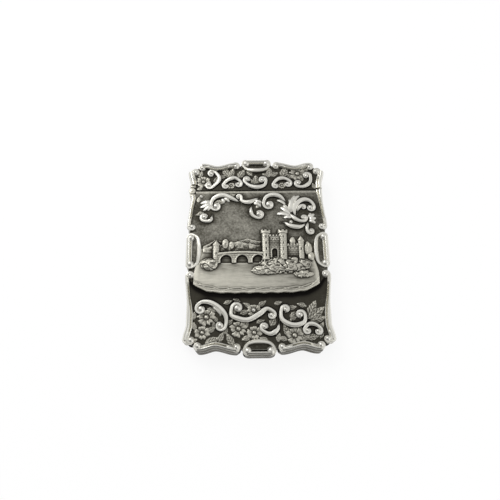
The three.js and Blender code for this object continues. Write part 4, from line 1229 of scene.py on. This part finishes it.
ROLL_OUT = 2.75
ROLL_WIDTH = 3.27
ROLL_FOOT = SIZES.middle + 0.15
ROLL_STEP = 0.4
HIP_Y = 12.4
END_X = 10.3
VOLUTE_BALL = 1.4
CARTOUCHE_BALL = 1.75
RIBBON_SINK = 0.25
BORDER = [
    ("right_upper", "upper", 1, 1, "case"), ("right_cartouche", "side_cartouche", 1, 1, "case"),
    ("right_lower", "side", 1, -1, "case"), ("bottom_right", "end", 1, -1, "case"),
    ("bottom_cartouche", "end_cartouche", 1, -1, "case"), ("bottom_left", "end", -1, -1, "case"),
    ("left_lower", "side", -1, -1, "case"), ("left_cartouche", "side_cartouche", -1, 1, "case"),
    ("left_upper", "hinge_upper", -1, 1, "case"), ("lid_left", "hinge_lid", -1, 1, "lid"),
    ("lid_top_left", "end", -1, 1, "lid"), ("lid_top_cartouche", "end_cartouche", 1, 1, "lid"),
    ("lid_top_right", "end", 1, 1, "lid"), ("lid_right", "lid_side", 1, 1, "lid"),
]


def roll_outline():
    """Section of the rolls: a reeded crown, a full outer side and a rabbet that sits on the rim."""
    face, top, foot = SIZES.face, SIZES.thickness, ROLL_FOOT
    return [
        (0.2, face - 0.05), (0.2, foot), (1.0, foot), (1.5, foot + 0.35), (2.1, foot + 1.2), (2.55, foot + 2.1),
        (ROLL_OUT, foot + 2.75), (2.72, top - 1.95), (2.6, top - 1.4), (2.36, top - 0.88), (2.04, top - 0.46),
        (1.68, top - 0.17), (1.3, top - 0.03), (1.0, top - 0.06), (0.74, top - 0.3), (0.5, top - 0.8),
        (0.32, top - 1.25), (0.16, top - 0.8), (-0.08, top - 0.6), (-0.34, top - 0.74), (-0.5, face + 0.4),
        (-0.52, face - 0.05),
    ]


def rim_line(side, low, high):
    """Line of the rim between two places, along a side or along an end."""
    at = np.linspace(low, high, max(2, int((high - low) / ROLL_STEP)))
    return np.column_stack([side_at(at), at])[::-1] if side else np.column_stack([at, end_at(at)])


def roll(line):
    """Roll along a line of the rim, which runs with the outside on its left."""
    return swept("roll", [(line, np.ones(len(line)))], [(-out, up) for out, up in roll_outline()])


def side_roll(low, high):
    """Roll along a side, which grows narrower towards the hip from within."""
    obj = roll(rim_line(True, low, high))
    for vertex in obj.data.vertices:
        outer = float(side_at(vertex.co.y)) + ROLL_OUT
        kept = 1 - float(slim_at(vertex.co.y)) / ROLL_WIDTH
        vertex.co.x = outer - (outer - vertex.co.x) * kept
    return obj


def ribbon(name, points, shares, rise):
    """Strap of the border, on the face of the front."""
    obj = swept(name, [(points, shares)], strap_outline(relief_sizes().ribbon, rise, RIBBON_SINK))
    obj.location.z = SIZES.face
    return obj


def boss(x, y, reach, ball_size):
    """Dished boss with a ball in it, under the winding of a volute."""
    dish = ball(x, y, SIZES.face + 0.05, reach + 0.3, 0.5)
    return [dish, ball(x, y, SIZES.face + 0.5, ball_size, SIZES.deep - 0.52)]


def volute(line, eye):
    """Strap along a roll's crown that winds into an eye, with a boss under it and a ball in it."""
    x, y, _, reach = eye
    points = smooth_line([tuple(p) for p in line] + curl(eye, line[-1]))
    t = np.linspace(0, 1, len(points))
    shares = (1 - 0.42 * t) * (0.3 + 0.7 * smooth(t / 0.22))
    return [ribbon("volute", points, shares, SIZES.deep - 0.04), *boss(x, y, reach, VOLUTE_BALL)]


def cap(place, along):
    """Rounded end of a roll, which lies to the outside of a point of the rim."""
    side = np.array([-along[1], along[0]]) / np.hypot(*along)
    outward = side if side @ place > 0 else -side
    x, y = place + outward * 1.3
    top = SIZES.thickness
    return named(ball(x, y, (ROLL_FOOT + top) / 2 - 0.1, 1.45, (top - ROLL_FOOT) / 2 - 0.15), "cap")


def end_cap(line):
    """Cap of a roll at the first point of a line."""
    return cap(line[0] + (line[1] - line[0]) * 0.5, line[0] - line[1])


def side_mount(low, high, at_hip, at_shoulder):
    """Roll along a part of a side, with a cap and a volute at the hip, at the shoulder or at both."""
    rim, reach = rim_sizes(), relief_sizes().eye - 0.2
    eye_y = rim.shoulder_y - 0.5
    parts = [side_roll(low, high)]
    if at_hip:
        parts.append(end_cap(rim_line(True, low, low + 2)[::-1]))
    if at_shoulder:
        parts.append(end_cap(rim_line(True, high - 2, high)))
    if at_hip:
        line = rim_line(True, low + 2, low + 6) + (1.0 + 0.5 * rim.slim, 0.0)
        parts += volute(line, (float(side_at(low)), low, -1, reach))
    if at_shoulder:
        line = rim_line(True, rim.shoulder_y - 6, rim.shoulder_y - 2.2)[::-1] + (1.0, 0.0)
        parts += volute(line, (float(side_at(eye_y)) - 1.3, eye_y, 1, reach))
    return parts


def end_mount():
    """Roll along half an end, with a cap and a volute beside the cartouche and at the corner."""
    rim, reach = rim_sizes(), relief_sizes().eye - 0.2
    low, high = END_X, rim.corner - 1.8
    parts = [roll(rim_line(False, low, high)), end_cap(rim_line(False, low, low + 2))]
    parts.append(end_cap(rim_line(False, high - 2, high)[::-1]))
    parts += volute(rim_line(False, low + 2, low + 6)[::-1] + (0.0, 1.0), (low, rim.end_side + 0.1, 1, reach))
    return parts + volute(rim_line(False, high - 6, high - 2) + (0.0, 1.0), (high, rim.crest - 0.2, -1, reach))


def cartouche(side):
    """Bar of the rim between two big eyes, and a ribbon that bows inward round them from eye to eye."""
    relief, rim = relief_sizes(), rim_sizes()
    along, base = (6.7, rim.hip) if side else (5.2, rim.end)
    turned = lambda a, out: (base + out, a) if side else (a, base + out)
    reach = relief.big_eye - 0.55
    turn = -1 if side else 1
    eyes = [turned(-along, 0.4), turned(along, 0.4)]
    bowed = [(-along, -2.7), (-along / 2, -3.6), (0, -3.8), (along / 2, -3.6), (along, -2.7)]
    bow = [turned(a, out) for a, out in bowed]
    points, shares = strap_line(((*eyes[0], -turn, reach), bow, (*eyes[1], turn, reach)))
    strap = ribbon("ribbon", points, np.maximum(shares, 0.6), SIZES.deep - 0.12)
    line = np.array([turned(a, 0) for a in np.linspace(-along, along, 12)])
    parts = [roll(line[::-1] if side else line), strap]
    for i, (x, y) in enumerate(eyes):
        parts.extend(boss(x, y, reach, CARTOUCHE_BALL))
        parts.append(cap(line[-i], line[1] - line[0]))
    return parts


def make_mounts():
    """One of each type of border mount, in the quarter where x and y are positive."""
    seam, clear = SIZES.hinge.y, relief_sizes().hinge_clear
    top = rim_sizes().shoulder_y - 0.3
    shapes = {
        "side": side_mount(HIP_Y, top, True, True),
        "upper": side_mount(HIP_Y, SIZES.body_mouth, True, False),
        "hinge_upper": side_mount(HIP_Y, seam - clear, True, False),
        "lid_side": side_mount(SIZES.lid_mouth + 0.9, top, False, True),
        "hinge_lid": side_mount(seam + clear, top, False, True),
        "end": end_mount(),
        "side_cartouche": cartouche(True),
        "end_cartouche": cartouche(False),
    }
    for parts in shapes.values():
        for part in parts:
            plain = part.name.startswith(("roll", "cap"))
            part.data.materials.append(border_silver() if plain else scroll_silver())
    return {name: joined("mount_" + name, parts) for name, parts in shapes.items()}


# Bezel and hinge. Knuckles and pin: node, body, how far it stands out at each end, and the rounding of its edges.
# Leaves: name, body, and where it starts and ends along the case, from the pin.

BEZEL_CORNER = 1.0
BEZEL_SOFT = 0.1
LEAF_IN = 0.3
LEAF_WIDE = 2.8
LEAF_SOFT = 0.35
HINGE = [
    ("hinge_knuckle_back", "case", 0, 0.25), ("lid_hinge_knuckle", "lid", 0, 0.25),
    ("hinge_knuckle_front", "case", 0, 0.25), ("hinge_pin", "case", 0.3, 0.1),
]
HINGE_LEAVES = [("hinge_leaf_case", "case", -3.3, -1.8), ("hinge_leaf_lid", "lid", 1.85, 3.3)]


# Operators


class CARDCASE_OT_front(Operator):
    """Make the stamped sheets of the front"""

    bl_idname = "card_case.front"
    bl_label = "Front sheets"

    def execute(self, context):
        body_scrolls = UPPER_SCROLLS + LOWER_SCROLLS
        jobs = [
            ("body_front_sheet", False, body_scrolls, picture_form, front_tone, "case", "body_front_panel"),
            ("lid_front_sheet", True, LID_SCROLLS, no_form, dark_tone, "lid", "lid_front_panel"),
        ]
        for name, is_lid, scrolls, form, tone, body, node in jobs:
            kept = lambda rows: [f for f in rows if (f[1] > FRONT_SEAM) == is_lid]
            made = sheet(name, is_lid, kept(FRONT_FLOWERS), kept(FRONT_LEAVES), scrolls, form, False, tone)
            piece(made, body, [node], SMOOTH_SHEET, stamped_silver())
            line_inside(made, SIZES.inner)
        return {"FINISHED"}


class CARDCASE_OT_back(Operator):
    """Make the stamped sheets of the back with their scrolls"""

    bl_idname = "card_case.back"
    bl_label = "Back sheets"

    def execute(self, context):
        first, last = BACK_GAP
        body = [reflect_scroll(s, sx, sy) for s in BACK_SCROLLS for sx in (1, -1) for sy in (1, -1)]
        body += [reflect_scroll(s, sx, -1) for s in BACK_LID_SCROLLS for sx in (1, -1)]
        lid = [reflect_scroll(s, sx, 1) for s in BACK_LID_SCROLLS for sx in (1, -1)]
        jobs = [
            ("body_back", False, body, reserve_height, back_tone, "case", "body_back_panel"),
            ("lid_back", True, lid, no_form, dark_tone, "lid", "lid_back_panel"),
        ]
        for name, is_lid, scrolls, form, tone, body_name, node in jobs:
            kept = lambda rows: [f for f in rows if (f[1] > last) == is_lid and not first < f[1] < last]
            flowers, leaves = kept(four_way(BACK_FLOWERS, False)), kept(four_way(BACK_LEAVES, True))
            made = sheet(name + "_sheet", is_lid, flowers, leaves, scrolls, form, True, tone)
            turned = turned_over(made, name + "_stamping")
            piece(turned, body_name, [node], SMOOTH_SHEET, stamped_silver())
            line_inside(turned, SIZES.thickness - SIZES.inner)
            straps = turned_over(scroll_straps(name + "_straps", scrolls), name + "_scrolls")
            piece(straps, body_name, material=scroll_silver())
        return {"FINISHED"}


def scroll_straps(name, scrolls, fronds=()):
    """Straps and balls of a set of scrolls, on the face of the front."""
    relief = relief_sizes()
    lines = [strap_line(s) for s in scrolls]
    for wide, lobe in fronds:
        points = smooth_line(lobe)
        t = np.linspace(0, 1, len(points))
        lines.append((points, wide * np.sin(np.pi * t ** 0.75) ** 0.8 + 0.06))
    straps = swept(name, lines, strap_outline(relief.strap, relief.strap_rise, STRAP_SINK))
    straps.location.z = SIZES.face
    eyes = [eye for start, _, end in scrolls for eye in (start, end) if eye]
    balls = [ball(x, y, SIZES.face + 0.15, 0.58 * reach, relief.strap_rise - 0.12) for x, y, _, reach in eyes]
    return joined(name, [applied(straps), *balls])


class CARDCASE_OT_scrolls(Operator):
    """Make the scroll straps of the front"""

    bl_idname = "card_case.scrolls"
    bl_label = "Front scrolls"

    def execute(self, context):
        body = scroll_straps("body_front_scrolls", UPPER_SCROLLS + LOWER_SCROLLS, FRONDS)
        beads = [ball(x, y, SIZES.face, BEAD, relief_sizes().strap_rise) for x, y in BEADS]
        piece(joined("body_front_scrolls", [body] + beads), "case", material=scroll_silver())
        lid = scroll_straps("lid_front_scrolls", LID_SCROLLS)
        piece(lid, "lid", material=scroll_silver())
        return {"FINISHED"}


class CARDCASE_OT_picture(Operator):
    """Make the picture on its terrace"""

    bl_idname = "card_case.picture"
    bl_label = "Picture"

    def execute(self, context):
        relief = relief_sizes()
        cell = relief.picture_cell
        half, low, high = relief.terrace + 0.2, relief.lip_y - 0.6, PICTURE_TOP
        mapped = lambda u, v: (relief.terrace_x + u * half, low + (high - low) * (v + 1) / 2)
        obj, x, y, shape = grid_sheet("picture", half, low, high, cell, mapped)
        height = picture_height(x, y)
        whole = np.clip(height, 0, None).reshape(shape)
        cavity = sunk(whole, cell, (0.3, 2.6), (1.3, 1.0))
        # Painted shade in wide dips, round the mounds, towers and trees.
        wide_painted_shade = np.clip(sunk(whole, cell, (3.0, 1.0)), 0, 1)
        # Painted light: the terrace is paler towards its front, most of all on the left.
        rubbed = smooth((-7 - y) / 8) * (1 - 0.6 * smooth((x - 2) / 18))
        patina_and_shade = 0.5 + 2.3 * cavity + 0.8 * wide_painted_shade + 0.16 * smooth((y - 0.5) / 4) - 0.26 * rubbed
        raise_sheet(obj, x, y, SIZES.face + height, patina_and_shade)
        edit(obj, close_under(SIZES.inner + 0.1))
        piece(obj, "case", ["scene_relief"], SMOOTH_PICTURE, picture_silver())
        return {"FINISHED"}


class CARDCASE_OT_border(Operator):
    """Make the cast mounts of the border on the front and the back"""

    bl_idname = "card_case.border"
    bl_label = "Border mounts"

    def execute(self, context):
        mounts = make_mounts()
        for place, kind, sign_x, sign_y, body in BORDER:
            for side, sign_z in (("front", 1), ("back", -1)):
                node = side + "_border_" + place
                made = reflected(mounts[kind], "mount_" + side + "_" + place, (sign_x, sign_y, sign_z))
                piece(made, body, [node], SMOOTH_SOLID)
        for mount in mounts.values():
            bpy.data.objects.remove(mount)
        return {"FINISHED"}


class CARDCASE_OT_bezel(Operator):
    """Make the lining of the mouth"""

    bl_idname = "card_case.bezel"
    bl_label = "Mouth bezel"

    def execute(self, context):
        names = ["bezel_front", "bezel_back", "bezel_left", "bezel_right"]
        boxes = [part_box(name) for name in names]
        low = Vector([min(b[0][i] for b in boxes) for i in range(3)]) / MM
        high = Vector([max(b[1][i] for b in boxes) for i in range(3)]) / MM
        obj = primitive(bpy.ops.mesh.primitive_cube_add, "mouth_bezel", size=1, location=(low + high) / 2,
                        scale=high - low)
        edit(obj, lambda: bpy.ops.mesh.select_mode(type="FACE"),
             lambda: bpy.ops.mesh.select_all(action="DESELECT"))
        for polygon in obj.data.polygons:
            polygon.select = abs(polygon.normal.y) > 0.5
        bpy.ops.object.mode_set(mode="EDIT")
        bpy.ops.mesh.delete(type="FACE")
        bpy.ops.mesh.select_mode(type="EDGE")
        bpy.ops.mesh.select_all(action="SELECT")
        bpy.ops.mesh.region_to_loop()
        bpy.ops.mesh.select_all(action="INVERT")
        bpy.ops.mesh.bevel(offset=BEZEL_CORNER, segments=6, affect="EDGES")
        bpy.ops.object.mode_set(mode="OBJECT")
        solid = obj.modifiers.new("wall", "SOLIDIFY")
        solid.thickness = (boxes[0][1].z - boxes[0][0].z) / MM
        solid.offset = -1
        bpy.ops.object.modifier_apply(modifier=solid.name)
        if not obj.data.polygons:
            raise RuntimeError("the bezel came out empty")
        softened(obj, BEZEL_SOFT, 2)
        piece(obj, "case", names, SMOOTH_SOLID, plain_silver())
        return {"FINISHED"}


class CARDCASE_OT_hinge(Operator):
    """Make the knuckles, the pin and the leaves of the hinge"""

    bl_idname = "card_case.hinge"
    bl_label = "Hinge"

    def execute(self, context):
        at = SIZES.hinge
        for node, body, over_end, soft in HINGE:
            low, high = (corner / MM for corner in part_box(node))
            radius = (high.x - low.x) / 2 if node == "hinge_pin" else at.x - low.x
            low.z, high.z = low.z - over_end, high.z + over_end
            obj = primitive(bpy.ops.mesh.primitive_cylinder_add, node + "_turned", vertices=48, radius=radius,
                            depth=high.z - low.z, location=(at.x, at.y, (low.z + high.z) / 2))
            softened(obj, soft, 4)
            piece(obj, body, [node], SMOOTH_SOLID, plain_silver())
        low = (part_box("hinge_knuckle_back")[0] / MM).z
        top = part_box("hinge_knuckle_front")[1].z / MM
        for name, body, first, last in HINGE_LEAVES:
            obj = primitive(bpy.ops.mesh.primitive_cube_add, name, size=1,
                            location=(at.x + LEAF_IN, at.y + (first + last) / 2, (low + top) / 2),
                            scale=(LEAF_WIDE, last - first, top - low))
            softened(obj, LEAF_SOFT, 4)
            piece(obj, body, degrees=SMOOTH_SOLID, material=plain_silver())
        return {"FINISHED"}


class CARDCASE_OT_walls(Operator):
    """Finish the edge strips that stay as they are in the frame"""

    bl_idname = "card_case.walls"
    bl_label = "Edge strips"

    def execute(self, context):
        for name, node in frame["nodes"].items():
            if name.endswith("_wall"):
                node.data.materials.clear()
                node.data.materials.append(edge_silver())
        return {"FINISHED"}


class CARDCASE_OT_stage(Operator):
    """Set up the floor, the light and the camera"""

    bl_idname = "card_case.stage"
    bl_label = "Stage"

    def execute(self, context):
        scene = context.scene
        set_camera(scene)
        set_world(scene)
        set_floor(scene)
        set_lamps(scene)
        scene.view_settings.view_transform = "Standard"
        return {"FINISHED"}


# Stage. Lamps: name, place, size and power.

SENSOR = 36
CLIP_START = 0.01
WHITE = (1, 1, 1, 1)
FLOOR_PALE = (0.92, 0.92, 0.92, 1)
FLOOR_Z = -0.00005
LAMPS = [("key", (-0.35, 0.45, 0.6), 0.35, 1.3), ("fill", (0.5, -0.3, 0.5), 0.5, 0.7)]


def set_camera(scene):
    """Camera at the photo's angle."""
    stage = scene.card_case_stage
    az, el, tilt = stage.azimuth, stage.elevation, stage.roll
    back = Vector((math.sin(az) * math.cos(el), -math.cos(az) * math.cos(el), math.sin(el)))
    right = Vector((0, 0, 1)).cross(back).normalized()
    up = back.cross(right)
    across = math.cos(tilt) * right + math.sin(tilt) * up
    upward = math.cos(tilt) * up - math.sin(tilt) * right
    data = bpy.data.cameras.new("camera")
    data.sensor_width = SENSOR
    data.lens = stage.lens
    data.clip_start = CLIP_START
    camera = bpy.data.objects.new("camera", data)
    scene.collection.objects.link(camera)
    place = Vector((stage.target_x, stage.target_y, stage.target_z)) + back * stage.distance
    turn = Matrix((across, upward, back)).transposed().to_4x4()
    camera.matrix_world = Matrix.Translation(place) @ turn
    scene.camera = camera


def ray(s, kind):
    """1 for rays of one kind, else 0."""
    return s.node("ShaderNodeLightPath", None, None, "Is " + kind + " Ray")


def seen_white(s):
    """1 for rays from the camera, mirrors and glass, else 0."""
    return (ray(s, "Camera") + ray(s, "Glossy") + ray(s, "Transmission")).rising(0.0, 1.0)


def set_world(scene):
    """Soft studio light: pale all round, dim in front of the case, and a white background."""
    scene.world = bpy.data.worlds.new("studio")
    s = Shader(scene.world)
    light = lambda strength: s.node("ShaderNodeBackground", None, {"Color": WHITE, "Strength": strength})
    direction = s.node("ShaderNodeTexCoord", output="Generated")
    across, along, up = [s.axis(direction, index) for index in range(3)]
    beside = abs(across)
    left = (0.0 - across).rising(0.3, 0.8)
    shade = 0.84 - up.rising(0.3, 0.9) * 0.04 - beside.rising(0.4, 0.9) * 0.1 - left * 0.2
    dim = (1.0 - along.rising(-0.3, 0.15)) * (1.0 - beside.rising(0.5, 0.85))
    in_front = 1.0 - dim * (0.45 + up.rising(0.35, 0.75) * 0.43)
    behind = 1.0 - along.rising(0.3, 0.65) * 0.3
    lit = s.blended(seen_white(s), light(0.9), light(1.0))
    whole = s.blended(ray(s, "Glossy"), lit, light(shade * in_front * behind))
    s.node("ShaderNodeOutputWorld", None, {"Surface": whole})


def set_floor(scene):
    """Pale floor that is white to the camera but for the shadow of the case, and clear from below."""
    floor = primitive(bpy.ops.mesh.primitive_plane_add, "floor", size=2 * scene.card_case_stage.floor,
                      location=(0, 0, FLOOR_Z))
    s = Shader(bpy.data.materials.new("floor"))
    diffuse = s.node("ShaderNodeBsdfDiffuse", None, {"Color": FLOOR_PALE})
    glow = s.node("ShaderNodeEmission", None, {"Color": WHITE, "Strength": 1.0})
    pale = s.blended(seen_white(s) * 0.8, diffuse, glow)
    under = s.node("ShaderNodeNewGeometry", output="Backfacing")
    surface = s.blended(under, pale, s.node("ShaderNodeBsdfTransparent"))
    s.node("ShaderNodeOutputMaterial", None, {"Surface": surface})
    floor.data.materials.append(s.owner)


def set_lamps(scene):
    """Two soft lamps over the case."""
    for name, place, size, power in LAMPS:
        data = bpy.data.lights.new(name, "AREA")
        data.size = size
        data.energy = power
        lamp = bpy.data.objects.new(name, data)
        scene.collection.objects.link(lamp)
        lamp.location = place
        lamp.rotation_euler = (-Vector(place)).to_track_quat("-Z", "Y").to_euler()


class CARDCASE_PT_panel(Panel):
    """Card case"""

    bl_idname = "CARDCASE_PT_panel"
    bl_label = "Card case"
    bl_space_type = "VIEW_3D"
    bl_region_type = "UI"
    bl_category = "Card case"

    def draw(self, context):
        for operator in OPERATORS:
            self.layout.operator(operator.bl_idname)
        for name in GROUPS:
            group = getattr(context.scene, name)
            box = self.layout.box()
            for key in group.__annotations__:
                box.prop(group, key)


GROUPS = {
    "card_case_rim": CardCaseRim,
    "card_case_relief": CardCaseRelief,
    "card_case_finish": CardCaseFinish,
    "card_case_stage": CardCaseStage,
}
OPERATORS = [
    CARDCASE_OT_front, CARDCASE_OT_picture, CARDCASE_OT_scrolls, CARDCASE_OT_back, CARDCASE_OT_border,
    CARDCASE_OT_bezel, CARDCASE_OT_hinge, CARDCASE_OT_walls, CARDCASE_OT_stage,
]


def register():
    for cls in [*GROUPS.values(), *OPERATORS, CARDCASE_PT_panel]:
        bpy.utils.register_class(cls)
    for name, cls in GROUPS.items():
        setattr(bpy.types.Scene, name, PointerProperty(type=cls))


def unregister():
    for name in GROUPS:
        delattr(bpy.types.Scene, name)
    for cls in reversed([*GROUPS.values(), *OPERATORS, CARDCASE_PT_panel]):
        bpy.utils.unregister_class(cls)


def main():
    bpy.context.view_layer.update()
    register()
    for operator in OPERATORS:
        group, name = operator.bl_idname.split(".")
        getattr(getattr(bpy.ops, group), name)()


if __name__ == "__main__":
    main()
